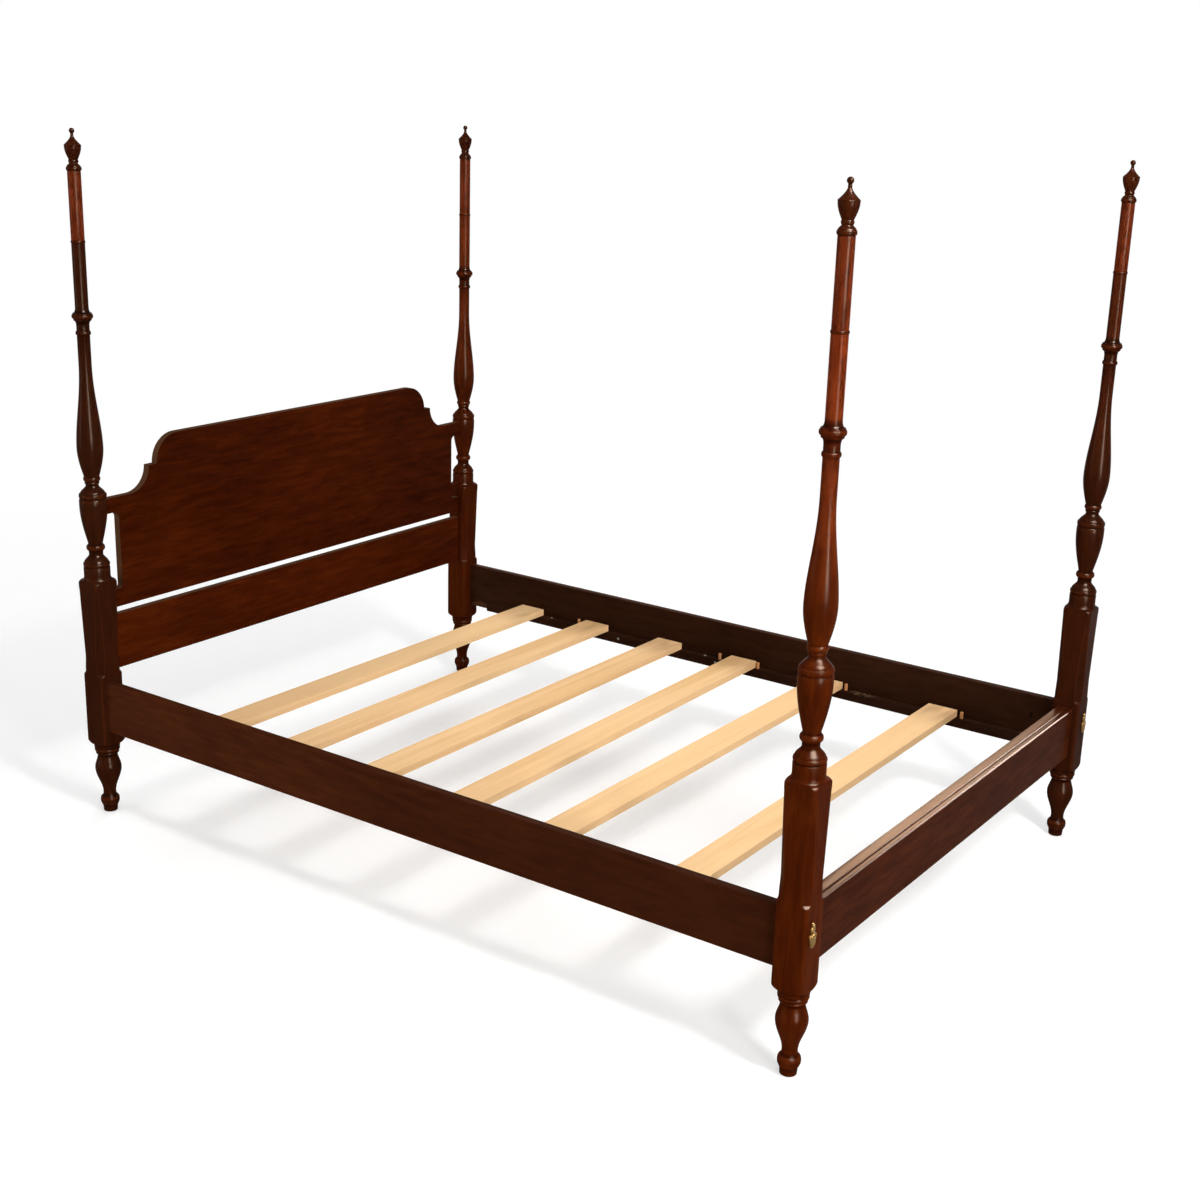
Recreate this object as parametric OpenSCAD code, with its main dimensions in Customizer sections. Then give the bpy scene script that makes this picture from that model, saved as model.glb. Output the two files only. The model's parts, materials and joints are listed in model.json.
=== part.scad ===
// Four-poster bed with turned posts, a shaped headboard, bolted side rails and loose slats.
// Millimetres, +Z up, headboard at +Y. The origin is on the floor under the middle of the bed.
// Left and right are as seen from the foot of the bed, so left is -X.

/* [Plan] */
// Distance between post centres across the bed
span_x = 1420; // [1000:5:1900]
// Distance between post centres along the bed
span_y = 2000; // [1800:5:2200]

/* [Post block] */
// Width of the square block in each post
block_w = 70; // [68:1:90]
// Height of the block, shoulder to shoulder
block_h = 444; // [430:1:520]
// Radius of the block's eased corners
arris_r = 8; // [2:0.5:12]
// Height of the turned shoulder at the block's lower end
lower_shoulder_h = 24; // [12:1:32]
// Height of the turned shoulder at the block's upper end
upper_shoulder_h = 34; // [20:1:44]
// Depth of the corner chamfer at its lower end, from the sharp corner
chamfer_low = 11; // [6:0.5:14]
// Depth of the corner chamfer at its upper end, from the sharp corner
chamfer_high = 5; // [4:0.5:8]
// Length of the lamb's tongue that ends the chamfer above the rail
tongue_h = 50; // [20:1:70]
// Length of the chamfer's run-out below the upper shoulder
runout_h = 14; // [8:1:24]
// Height of the lamb's tongue's end above the rail's top
tongue_gap = 9; // [4:1:20]

/* [Leg turning] */
// Diameter of the foot pad
pad_d = 35; // [28:0.5:42]
// Height of the foot pad
pad_h = 18; // [12:1:26]
// Diameter of the ring over the foot pad
foot_ring_d = 47.5; // [44:0.5:58]
// Height of the ring over the foot pad
foot_ring_h = 23; // [14:1:30]
// Diameter of the ankle
ankle_d = 32; // [26:0.5:40]
// Height of the hollow between the foot ring and the ankle
ankle_h = 12; // [8:1:24]
// Diameter of the leg's ball
ball_d = 65.5; // [56:0.5:67]
// Height from the ankle to the ball's widest place
ball_rise = 67; // [50:1:90]
// Height from the ball's widest place to the leg's neck
ball_fall = 38; // [24:1:50]
// Diameter of the leg's neck
leg_neck_d = 49; // [40:0.5:56]
// Diameter of the small bead over the leg's neck
leg_bead_d = 58; // [50:0.5:62]
// Height of the small bead over the leg's neck
leg_bead_h = 8; // [5:0.5:12]
// Diameter of the ring under the block
leg_ring_d = 63; // [56:0.5:67]
// Height of the ring under the block
leg_ring_h = 10; // [6:0.5:14]

/* [Urn turning] */
// Diameter of the plain necks that meet the block
stub_d = 64; // [58:0.5:67]
// Height of the plain neck under the block
lower_stub_h = 11; // [6:1:20]
// Height of the plain neck over the block
upper_stub_h = 22; // [12:1:40]
// Width and depth of the incised lines beside the large rings
quirk = 2.5; // [1:0.25:3]
// Height of the half-round ring under the lower bell
base_torus_h = 9.5; // [6:0.5:14]
// Height of the half-round ring under the upper bell
cap_torus_h = 12; // [6:0.5:16]
// Height of each bell
bell_h = 20; // [14:1:30]
// Diameter of each bell at its wide end
bell_d = 59; // [50:0.5:62]
// Diameter of the neck over the lower bell
base_neck_d = 34; // [28:0.5:40]
// Height of the neck over the lower bell
base_neck_h = 9.5; // [4:0.5:14]
// Diameter of the ring under the urn
base_ring_d = 45; // [42:0.5:54]
// Height of the ring under the urn
base_ring_h = 15; // [10:0.5:20]
// Diameter of the urn's foot
urn_foot_d = 36; // [30:0.5:40]
// Height of the urn's straight foot
urn_foot_h = 5.5; // [2:0.5:10]
// Largest diameter of the urn
urn_d = 66.8; // [60:0.2:68]
// Height from the urn's foot to its widest place
urn_rise = 96; // [70:1:130]
// Height of the urn's nearly upright lip
urn_lip_h = 14; // [8:1:24]
// Diameter of the neck over the urn's cap
cap_neck_d = 31; // [26:0.5:36]
// Height of the neck over the urn's cap
cap_neck_h = 9.5; // [8:0.5:14]
// Diameter of the ring over the urn's cap
cap_ring_d = 41; // [38:0.5:50]
// Height of the ring over the urn's cap
cap_ring_h = 12; // [8:0.5:16]

/* [Shaft turning] */
// Diameter of the shaft's foot
shaft_foot_d = 37; // [32:0.5:40]
// Largest diameter of the shaft
belly_d = 63; // [54:0.5:68]
// Height from the shaft's foot to its widest place
belly_rise = 72; // [50:1:100]
// Height of the shaft's taper over its widest place
taper_h = 202; // [150:1:280]
// Height of the slender stretch over the taper
slender_h = 70; // [40:1:120]
// Diameter of the slender stretch
slender_d = 30.6; // [26:0.2:34]
// Diameter of the thin ring on the slender stretch
thin_ring_d = 36; // [34:0.5:42]
// Height of the thin ring
thin_ring_h = 10; // [6:0.5:14]
// Distance from the thin ring to the collar
collar_gap = 12; // [6:1:24]
// Largest diameter of the collar
collar_d = 50; // [44:0.5:56]
// Height of the collar's middle, a half-round between two fillets
collar_mid_h = 17; // [12:0.5:24]
// Height of each of the collar's hollow flanks
collar_flank_h = 13; // [8:0.5:22]
// Diameter of the straight column over the collar
column_d = 31.6; // [28:0.2:34]
// Length of the straight column over the collar
column_h = 146; // [100:1:220]
// Diameter of the ring at the joint with the top column
joint_ring_d = 34; // [32:0.5:40]
// Height of the ring at the joint with the top column
joint_ring_h = 10; // [6:0.5:14]

/* [Top column] */
// Diameter of the top column
top_column_d = 31.2; // [28:0.2:34]
// Length of the top column
top_column_h = 159; // [100:1:260]
// Diameter of the spigot that joins the top column to the post
spigot_d = 16; // [12:0.5:18]
// Length of that spigot
spigot_h = 36; // [20:1:60]

/* [Finial] */
// Diameter of the finial's foot ring
finial_ring_d = 35.6; // [33:0.2:42]
// Height of the finial's foot ring
finial_ring_h = 9; // [6:0.5:12]
// Height of the finial's bell
finial_bell_h = 8.5; // [5:0.5:12]
// Diameter of the finial's waist
finial_waist_d = 20; // [16:0.5:24]
// Diameter of the bead over the waist
finial_bead_d = 23; // [20:0.5:28]
// Height of the bead over the waist
finial_bead_h = 7.5; // [5:0.5:10]
// Diameter of the finial's rim
finial_rim_d = 39.4; // [34:0.2:46]
// Height of the finial's cup, from the bead to the rim
finial_cup_h = 33; // [24:1:44]
// Height of the finial's hollow roof
finial_roof_h = 17; // [12:1:28]
// Diameter of the finial's neck
finial_neck_d = 7.6; // [6:0.2:9]
// Height of the finial's neck
finial_neck_h = 6.5; // [3:0.5:8]
// Diameter of the ball at the tip
tip_d = 14.2; // [12:0.2:18]
// Diameter of the finial's spigot
finial_spigot_d = 9.5; // [8:0.5:12]
// Length of the finial's spigot
finial_spigot_h = 28; // [15:1:40]

/* [Side and foot rails] */
// Height of the rails' lower edge above the floor
rail_z = 230; // [215:1:260]
// Height of every rail's face
rail_h = 131; // [110:1:150]
// Thickness of a side rail
side_rail_t = 22; // [20:0.5:30]
// Distance from the post's outer face to the side rail's outer face
side_rail_setback = 14; // [11:0.5:20]
// Thickness of the foot rail
foot_rail_t = 38; // [30:0.5:50]
// Radius that eases a plain rail's upper edges
rail_ease = 2; // [0.5:0.25:3]
// Length of the side rail's stub tenon
stub_tenon_l = 10; // [6:0.5:14]
// Thickness of the side rail's stub tenon
stub_tenon_t = 16; // [12:0.5:18]
// Length of the glued tenons
tenon_l = 28; // [20:1:32]
// Thickness of the foot rail's tenon
foot_tenon_t = 18; // [12:0.5:22]
// Distance from a tenon's edge to its rail's edge
tenon_shoulder = 14; // [8:0.5:24]
// Width of the flat on the foot rail's top
moulding_flat = 22.5; // [14:0.5:24]
// Width of the narrow bead on the foot rail's top
moulding_bead = 8; // [5:0.5:8]
// Depth of the lines cut in the foot rail's moulding
moulding_quirk = 2; // [1:0.25:3]
// Depth of the rounded outer edge of the foot rail's top
moulding_round = 5; // [3:0.5:6]

/* [Headboard] */
// Thickness of the headboard's panel and rail
head_t = 20; // [16:0.5:28]
// Thickness of the tenons on the headboard's panel and rail
head_tenon_t = 12; // [8:0.5:14]
// Gap between the side rail's top and the headboard rail
head_rail_gap = 17; // [10:1:30]
// Height of the headboard rail
head_rail_h = 142; // [110:1:160]
// Gap between the headboard rail and the panel
panel_gap = 19; // [10:1:30]
// Height of the arms that join the panel to the urns
arm_h = 38; // [28:1:50]
// Distance from the top of an arm to the lip of its urn
arm_below_lip = 6; // [3:0.5:14]
// Radius of the hollow quarter round over each arm
cove_r = 63; // [40:1:80]
// Width of the small step between the quarter rounds
step_w = 26; // [14:1:40]
// Radius of the full quarter round at the panel's upper corners
shoulder_r = 72; // [50:1:90]
// Distance from the post's centre to the foot of the hollow quarter round
arm_l = 107; // [90:1:140]
// Distance from the post's centre to the panel's edge beside the urn
slot_l = 69; // [56:1:76]
// Radius of the slot's upper corner
slot_r = 16; // [8:1:20]
// Radius of the slot's lower corner beside the panel
slot_foot_r = 8; // [4:1:12]
// Height of the slot's lower end above the panel's lower edge
slot_foot = 46; // [40:1:60]
// Depth that an arm enters its urn
arm_seat = 20; // [12:1:24]

/* [Slats and ledgers] */
// Distances of the slats' middles from the bed's middle, head first
slat_y = [710, 466, 204, -56, -323, -666]; // [-760:1:760]
// Angles that the loose slats have turned, in degrees
slat_turn = [0, 0, 0, 0.7, 0, 0.3]; // [-1:0.1:1]
// Width of a slat
slat_w = 82; // [60:1:90]
// Thickness of a slat
slat_t = 19; // [15:0.5:25]
// Free space between a slat's end and the side rail
slat_end_gap = 6; // [4:0.5:8]
// Height of a ledger
ledger_h = 25; // [20:0.5:32]
// Width of a ledger
ledger_w = 20; // [16:0.5:24]
// Free space between a ledger's end and the post
ledger_end_gap = 82; // [2:1:120]
// Number of screws through each ledger
screw_count = 5; // [3:1:6]
// Distance between neighbouring screws
screw_pitch = 340; // [150:1:360]
// Distance that the row of screws lies from the bed's middle towards the head
screw_shift = 39; // [0:1:60]
// Height of the screws above the ledger's lower edge
screw_rise = 15; // [8:0.5:17]
// Distances from the bed's middle of the short screws in the ledger's top
top_screw_y = [80, 635]; // [-700:1:700]
// Length of those short screws
top_screw_l = 14; // [8:0.5:18]
// Height of their domed heads
top_screw_head_h = 2; // [1:0.25:3]
// Diameter of a ledger screw's shank
screw_d = 4; // [3:0.25:5]
// Diameter of a ledger screw's head
screw_head_d = 8.5; // [7:0.25:10]
// Depth that a ledger screw enters the side rail
screw_bite = 15; // [10:0.5:18]
// Diameter of a stop peg
peg_d = 9; // [6:0.5:10]
// Height of a stop peg over the ledger
peg_h = 18; // [12:0.5:24]
// Depth of a stop peg in the ledger
peg_depth = 12; // [8:0.5:16]

/* [Bed bolts] */
// Height of the bed bolts above the floor
bolt_z = 306; // [290:1:320]
// Diameter of a bed bolt
bolt_d = 9.5; // [8:0.5:11]
// Width across the flats of a bolt's head
bolt_head_w = 15; // [12:0.5:16]
// Height of a bolt's head
bolt_head_h = 7; // [5:0.5:9]
// Diameter of the recess for a bolt's head
recess_d = 20; // [18:0.5:22]
// Depth of the recess for a bolt's head
recess_depth = 14; // [10:0.5:18]
// Distance from the side rail's end face to its nut
nut_inset = 62; // [40:1:90]
// Width of a square nut
nut_w = 14; // [13:0.5:15]
// Thickness of a square nut
nut_t = 8; // [6:0.5:10]

/* [Bolt covers] */
// Width of a bolt cover's fluted body
cover_w = 27; // [24:0.5:32]
// Height of a bolt cover from its foot to the pin
cover_h = 48; // [44:0.5:56]
// Thickness of a bolt cover's plate
cover_t = 3; // [2:0.25:4]
// Diameter of the boss that the pin passes through
cover_boss_d = 9; // [8:0.5:12]
// Diameter of a cover's pin
cover_pin_d = 3; // [2.5:0.25:4]
// Depth of a cover's pin in the post
cover_pin_depth = 14; // [8:0.5:20]

/* [Fits] */
// Gap around a tenon, a screw or a bolt in its hole
fit_gap = 0.3; // [0.1:0.05:0.5]
// Gap between a loose or hinged piece and what it lies on
rest_gap = 0.3; // [0.2:0.05:0.5]
// Gap around a spigot or a hinge pin, at each side
pin_gap = 0.08; // [0.05:0.01:0.2]

/* [Hidden] */

$fn = 64;
left = -1;
right = 1;
foot = -1;
head = 1;
curve_steps = 8;
long_steps = 14;
bead_steps = 6;
overrun = 1;

mahogany = [0.27, 0.10, 0.05];
red_mahogany = [0.42, 0.16, 0.08];
pale_wood = [0.90, 0.74, 0.52];
dark_ledger = [0.20, 0.09, 0.05];
brass = [0.80, 0.65, 0.30];
steel = [0.62, 0.62, 0.62];

// Heights up the post, each stacked on the one before
foot_ring_z = pad_h;
ankle_z = foot_ring_z + foot_ring_h + ankle_h;
ball_z = ankle_z + ball_rise;
leg_neck_z = ball_z + ball_fall;
leg_bead_z = leg_neck_z + quirk / 2;
leg_ring_z = leg_bead_z + leg_bead_h;
lower_stub_z = leg_ring_z + leg_ring_h;
block_z = lower_stub_z + lower_stub_h;
block_top = block_z + block_h;
base_torus_z = block_top + upper_stub_h + quirk;
base_bell_z = base_torus_z + base_torus_h;
base_neck_z = base_bell_z + bell_h;
base_ring_z = base_neck_z + base_neck_h;
urn_z = base_ring_z + base_ring_h;
urn_swell_z = urn_z + urn_foot_h;
urn_wide_z = urn_swell_z + urn_rise;
urn_lip_z = urn_wide_z + urn_lip_h;
cap_torus_z = urn_lip_z + quirk;
cap_bell_z = cap_torus_z + cap_torus_h;
cap_neck_z = cap_bell_z + bell_h;
cap_ring_z = cap_neck_z + cap_neck_h;
shaft_z = cap_ring_z + cap_ring_h;
belly_z = shaft_z + belly_rise;
slender_z = belly_z + taper_h;
thin_ring_z = slender_z + slender_h;
collar_z = thin_ring_z + thin_ring_h + collar_gap;
collar_mid_z = collar_z + collar_flank_h;
collar_top_z = collar_mid_z + collar_mid_h;
column_z = collar_top_z + collar_flank_h;
joint_ring_z = column_z + column_h;
post_h = joint_ring_z + joint_ring_h;
top_column_top = post_h + top_column_h;

// Diameters that follow others
block_reach = block_w * sqrt(2) + overrun;
quirk_d = stub_d - 2 * quirk;
urn_quirk_d = urn_d - 2 * quirk;
finial_step_d = finial_ring_d - 2;

// Plan positions
post_x = span_x / 2;
post_y = span_y / 2;
inner_x = post_x - block_w / 2;
inner_y = post_y - block_w / 2;
outer_y = post_y + block_w / 2;
rail_outer_x = post_x + block_w / 2 - side_rail_setback;
rail_inner_x = rail_outer_x - side_rail_t;
rail_mid_x = rail_outer_x - side_rail_t / 2;
ledger_inner_x = rail_inner_x - ledger_w;
peg_x = rail_inner_x - ledger_w / 2;
rail_top = rail_z + rail_h;
ledger_top = rail_z + ledger_h;
slat_z = ledger_top + rest_gap;
slat_l = 2 * (rail_inner_x - slat_end_gap);
screw_z = rail_z + screw_rise;
nut_y = inner_y - nut_inset;
bolt_seat_y = outer_y - recess_depth;

// Headboard heights
head_rail_z = rail_top + head_rail_gap;
panel_z = head_rail_z + head_rail_h + panel_gap;
arm_top = urn_lip_z - arm_below_lip;
arm_z = arm_top - arm_h;
step_z = arm_top + cove_r;
panel_top = step_z + shoulder_r;
slot_z = panel_z + slot_foot;
cove_x = post_x - arm_l;
step_x = cove_x - cove_r;
shoulder_x = step_x - step_w;

// Tenons
tenon_h = rail_h - 2 * tenon_shoulder;
head_tenon_h = head_rail_h - 2 * tenon_shoulder;
panel_tenon_h = slot_foot - tenon_shoulder;

// Bolt cover, its parts measured from the pin down
cover_pin_z = bolt_z + cover_h - cover_w * 0.66;
cover_neck_z = cover_boss_d * 0.55;
cover_bead_d = cover_w * 0.55;
cover_shoulder_z = cover_neck_z + cover_bead_d * 0.8;
flute_count = 5;
flute_pitch = cover_w / flute_count;
pin_head_d = cover_pin_d * 2;
pin_head_h = cover_pin_d / 2;

// Which slats have pegs beside them: slat, side towards the head or foot, and free space
pegs = [[1, head, 20], [3, head, 32], [3, foot, 3], [4, foot, 8], [5, foot, 10]];

// A value part of the way from a to b
function between(t, a, b) = a + (b - a) * t;

// Outline points, as radius and height, for one stretch of a turning.
// An ogee is upright at both ends.
function ogee(d0, z0, d1, z1, n = curve_steps) =
    [for (i = [0:n]) [between((1 - cos(180 * i / n)) / 2, d0, d1) / 2, between(i / n, z0, z1)]];

// A swell leaves at a slant and ends upright.
function swell(d0, z0, d1, z1, n = curve_steps) =
    [for (i = [0:n]) [between(sin(90 * i / n), d0, d1) / 2, between(i / n, z0, z1)]];

// A taper ends upright at both ends and falls away soonest near its wide end.
function taper(d0, z0, d1, z1, n = long_steps) =
    [for (i = [0:n]) [between((1 - cos(180 * pow(i / n, 0.9))) / 2, d0, d1) / 2, between(i / n, z0, z1)]];

// A hollow quarter round that is upright at its slim end d0.
function hollow(d0, z0, d1, z1, n = bead_steps) =
    [for (i = [0:n]) [between(1 - cos(90 * i / n), d0, d1) / 2, between(sin(90 * i / n), z0, z1)]];

// A full quarter round that is upright at its wide end d1.
function full_round(d0, z0, d1, z1, n = bead_steps) =
    [for (i = [0:n]) [between(sin(90 * i / n), d0, d1) / 2, between(1 - cos(90 * i / n), z0, z1)]];

// A half-round ring that stands out from d0 to d1.
function bead(d0, d1, z0, z1, n = bead_steps) =
    [for (i = [0:n]) [between(sin(180 * i / n), d0, d1) / 2, between((1 - cos(180 * i / n)) / 2, z0, z1)]];

function reversed(points) = [for (i = [len(points) - 1:-1:0]) points[i]];

// Drops a point that repeats the one before it.
function distinct(points) =
    [for (i = [0:len(points) - 1]) if (i == 0 || norm(points[i] - points[i - 1]) > 0.02) points[i]];

leg_outline = concat(
    [[0, 0], [pad_d / 2 - 1.5, 0], [pad_d / 2, 1.5]],
    [[pad_d / 2 + 1, pad_h - 1], [foot_ring_d / 2 - 3.5, pad_h], [foot_ring_d / 2 - 3, pad_h + 2]],
    bead(foot_ring_d - 7, foot_ring_d, foot_ring_z + 3, foot_ring_z + foot_ring_h),
    reversed(hollow(ankle_d, ankle_z, foot_ring_d - 7, foot_ring_z + foot_ring_h)),
    ogee(ankle_d, ankle_z, ball_d, ball_z, long_steps),
    ogee(ball_d, ball_z, leg_neck_d, leg_neck_z),
    bead(leg_neck_d + 2, leg_bead_d, leg_bead_z, leg_ring_z - quirk / 2),
    bead(leg_bead_d - 2, leg_ring_d, leg_ring_z, lower_stub_z - quirk / 2),
    [[quirk_d / 2, lower_stub_z], [stub_d / 2, lower_stub_z + quirk / 2]]
);

block_outline = concat(
    full_round(stub_d, block_z, block_reach, block_z + lower_shoulder_h),
    reversed(full_round(between(0.3, stub_d, block_reach), block_top - upper_shoulder_h / 3,
                        block_reach, block_top - upper_shoulder_h)),
    reversed(hollow(stub_d, block_top, between(0.3, stub_d, block_reach), block_top - upper_shoulder_h / 3))
);

urn_outline = concat(
    [[stub_d / 2, base_torus_z - quirk - 1], [quirk_d / 2, base_torus_z - quirk]],
    [[quirk_d / 2, base_torus_z]],
    bead(stub_d - 3, stub_d + 0.5, base_torus_z, base_bell_z - 1),
    ogee(bell_d, base_bell_z, base_neck_d, base_neck_z),
    bead(base_neck_d + 1, base_ring_d, base_ring_z, urn_z),
    [[urn_foot_d / 2 - 0.3, urn_z + 0.5]],
    swell(urn_foot_d, urn_swell_z, urn_d, urn_wide_z, long_steps),
    [[urn_d / 2 - 0.2, urn_lip_z - quirk], [urn_d / 2 - 1, urn_lip_z]],
    [[urn_quirk_d / 2, urn_lip_z], [urn_quirk_d / 2, cap_torus_z]],
    bead(urn_d - 3, urn_d, cap_torus_z, cap_bell_z - 1),
    ogee(bell_d, cap_bell_z, cap_neck_d, cap_neck_z),
    [[cap_neck_d / 2, cap_ring_z - 6.5], [cap_neck_d / 2 + 2, cap_ring_z - 6]],
    [[cap_neck_d / 2 + 2, cap_ring_z - 2.5], [cap_neck_d / 2 + 1.2, cap_ring_z - 1]],
    bead(cap_neck_d + 3, cap_ring_d, cap_ring_z, shaft_z)
);

shaft_outline = concat(
    swell(shaft_foot_d, shaft_z, belly_d, belly_z, long_steps),
    taper(belly_d, belly_z, slender_d, slender_z),
    bead(slender_d, thin_ring_d, thin_ring_z, thin_ring_z + thin_ring_h),
    hollow(slender_d, collar_z, collar_d - 10, collar_mid_z - 1),
    [[collar_d / 2 - 4, collar_mid_z], [collar_d / 2 - 3.6, collar_mid_z + 3.2]],
    bead(collar_d - 6, collar_d, collar_mid_z + 4, collar_top_z - 2),
    [[collar_d / 2 - 2.4, collar_top_z - 1.5], [collar_d / 2 - 2.6, collar_top_z]],
    reversed(hollow(column_d, column_z, collar_d - 7, collar_top_z + 0.5)),
    bead(column_d, joint_ring_d, joint_ring_z, post_h),
    [[0, post_h]]
);

post_outline = distinct(concat(leg_outline, block_outline, urn_outline, shaft_outline));

// Heights up the finial, from its seat
finial_bell_z = finial_ring_h;
finial_bead_z = finial_bell_z + finial_bell_h;
finial_cup_z = finial_bead_z + finial_bead_h;
finial_rim_z = finial_cup_z + finial_cup_h;
finial_neck_z = finial_rim_z + finial_roof_h;
tip_z = finial_neck_z + finial_neck_h;

finial_outline = distinct(concat(
    [[0, 0], [top_column_d / 2, 0]],
    bead(finial_ring_d - 2, finial_ring_d, 0.5, finial_ring_h - 1),
    [[finial_step_d / 2 - 0.5, finial_ring_h]],
    ogee(finial_step_d - 2, finial_bell_z + 0.5, finial_waist_d, finial_bead_z),
    bead(finial_waist_d + 0.6, finial_bead_d, finial_bead_z, finial_cup_z),
    swell(finial_bead_d - 2, finial_cup_z, finial_rim_d - 1, finial_rim_z - 3),
    [[finial_rim_d / 2, finial_rim_z - 1], [finial_rim_d / 2 - 0.5, finial_rim_z]],
    [for (i = [1:curve_steps]) let (t = 1 - i / curve_steps)
        [between(pow(t, 1.6), finial_neck_d, finial_rim_d - 1) / 2, between(t, finial_neck_z, finial_rim_z)]],
    [for (a = [-55:145 / 10:90]) [tip_d / 2 * cos(a), tip_z + tip_d / 2 * (1 + sin(a))]],
    [[0, tip_z + tip_d]]
));

// The square block's section with eased corners
module block_section() {
    flat = block_w - 2 * arris_r;
    square([block_w, flat], center = true);
    square([flat, block_w], center = true);
    for (sx = [-1, 1], sy = [-1, 1])
        translate([sx * flat / 2, sy * flat / 2]) circle(r = arris_r);
}

// What the chamfer cutter removes at one corner, as distance from the post's axis and height
module chamfer_section() {
    corner = block_w / sqrt(2);
    clear = corner - arris_r * (sqrt(2) - 1) + 0.2;
    low = corner - chamfer_low;
    high = corner - chamfer_high;
    z0 = rail_top + tongue_gap;
    z1 = z0 + tongue_h;
    z3 = block_top - upper_shoulder_h + runout_h / 2;
    z2 = z3 - runout_h;
    polygon(distinct(concat(
        [[corner + overrun, z0], [clear, z0]],
        [for (i = [1:curve_steps]) let (t = i / curve_steps)
            [between(pow(1 - t, 2.6), low, clear), between(t, z0, z1)]],
        [for (i = [0:bead_steps]) let (t = i / bead_steps)
            [between(pow(t, 2), high, clear), between(t, z2, z3)]],
        [[corner + overrun, z3]]
    )));
}

module chamfer_cutters() {
    for (a = [45:90:315])
        rotate([0, 0, a]) rotate([90, 0, 0])
            linear_extrude(height = block_w, center = true) chamfer_section();
}

// Room for a tenon of this size, with the fit gap on every side
module mortise(size) {
    cube(size + 2 * fit_gap * [1, 1, 1], center = true);
}

// A post standing on its own axis, with the bed's middle towards +X and -Y*end
module post_body(side, end) {
    difference() {
        intersection() {
            rotate_extrude() polygon(post_outline);
            linear_extrude(height = post_h) block_section();
        }
        chamfer_cutters();
        translate([0, 0, post_h - spigot_h - overrun])
            cylinder(d = spigot_d + 2 * pin_gap, h = spigot_h + 2 * overrun);
        // Bed bolt, its head's recess and the side rail's stub tenon
        translate([side * (rail_mid_x - post_x), 0, bolt_z]) rotate([90, 0, 0])
            cylinder(d = bolt_d + 2 * fit_gap, h = 2 * block_w, center = true);
        translate([side * (rail_mid_x - post_x), end * (block_w / 2 - recess_depth), bolt_z])
            rotate([-90 * end, 0, 0]) cylinder(d = recess_d, h = 2 * recess_depth);
        translate([side * (rail_mid_x - post_x), end * (stub_tenon_l / 2 - block_w / 2), rail_z + rail_h / 2])
            mortise([stub_tenon_t, stub_tenon_l, tenon_h]);
        // Pin of the bolt cover
        translate([side * (rail_mid_x - post_x), end * (block_w / 2 - cover_pin_depth), cover_pin_z])
            rotate([-90 * end, 0, 0]) cylinder(d = cover_pin_d + 2 * pin_gap, h = 2 * cover_pin_depth);
    }
}

module foot_post(side) {
    color(mahogany) translate([side * post_x, -post_y, 0]) difference() {
        post_body(side, foot);
        translate([-side * (block_w - tenon_l) / 2, 0, rail_z + rail_h / 2])
            mortise([tenon_l, foot_tenon_t, tenon_h]);
    }
}

module head_post(side) {
    color(mahogany) translate([side * post_x, post_y, 0]) difference() {
        post_body(side, head);
        translate([-side * (block_w - tenon_l) / 2, 0, head_rail_z + head_rail_h / 2])
            mortise([tenon_l, head_tenon_t, head_tenon_h]);
        translate([-side * (block_w - tenon_l) / 2, 0, panel_z + slot_foot / 2])
            mortise([tenon_l, head_tenon_t, panel_tenon_h]);
        translate([-side * block_w / 2, 0, arm_z + arm_h / 2])
            mortise([block_w - urn_d + 2 * arm_seat, head_t, arm_h]);
    }
}

module post_foot_left() { foot_post(left); }
module post_foot_right() { foot_post(right); }
module post_head_left() { head_post(left); }
module post_head_right() { head_post(right); }

// A turned column with a spigot below and a bore for the finial above
module top_column(side, end) {
    color(red_mahogany) translate([side * post_x, end * post_y, post_h]) difference() {
        union() {
            cylinder(d = top_column_d, h = top_column_h);
            translate([0, 0, -spigot_h]) cylinder(d = spigot_d, h = spigot_h + overrun);
        }
        translate([0, 0, top_column_h - finial_spigot_h - overrun])
            cylinder(d = finial_spigot_d + 2 * pin_gap, h = finial_spigot_h + 2 * overrun);
    }
}

module top_column_foot_left() { top_column(left, foot); }
module top_column_foot_right() { top_column(right, foot); }
module top_column_head_left() { top_column(left, head); }
module top_column_head_right() { top_column(right, head); }

module finial(side, end) {
    color(mahogany) translate([side * post_x, end * post_y, top_column_top + rest_gap]) {
        rotate_extrude() polygon(finial_outline);
        translate([0, 0, -finial_spigot_h]) cylinder(d = finial_spigot_d, h = finial_spigot_h + overrun);
    }
}

module finial_foot_left() { finial(left, foot); }
module finial_foot_right() { finial(right, foot); }
module finial_head_left() { finial(left, head); }
module finial_head_right() { finial(right, head); }

// One half of the panel, from the middle to the post on the right
module half_panel_outline() {
    slot_x = post_x - slot_l;
    translate([0, panel_z]) square([shoulder_x - shoulder_r, panel_top - panel_z]);
    translate([0, panel_z]) square([shoulder_x, step_z - panel_z]);
    translate([shoulder_x - shoulder_r, step_z]) intersection() {
        circle(r = shoulder_r);
        square(shoulder_r);
    }
    translate([0, panel_z]) square([step_x, step_z - panel_z]);
    translate([0, panel_z]) square([slot_x, arm_top - panel_z]);
    translate([step_x, arm_top]) difference() {
        square(cove_r);
        translate([cove_r, cove_r]) circle(r = cove_r);
    }
    translate([0, arm_z]) square([post_x - urn_d / 2 + arm_seat, arm_h]);
    translate([0, panel_z]) square([inner_x, slot_foot]);
    translate([slot_x, arm_z - slot_r]) difference() {
        square(slot_r);
        translate([slot_r, 0]) circle(r = slot_r);
    }
    translate([slot_x, slot_z]) difference() {
        square(slot_foot_r);
        translate([slot_foot_r, slot_foot_r]) circle(r = slot_foot_r);
    }
}

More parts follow.
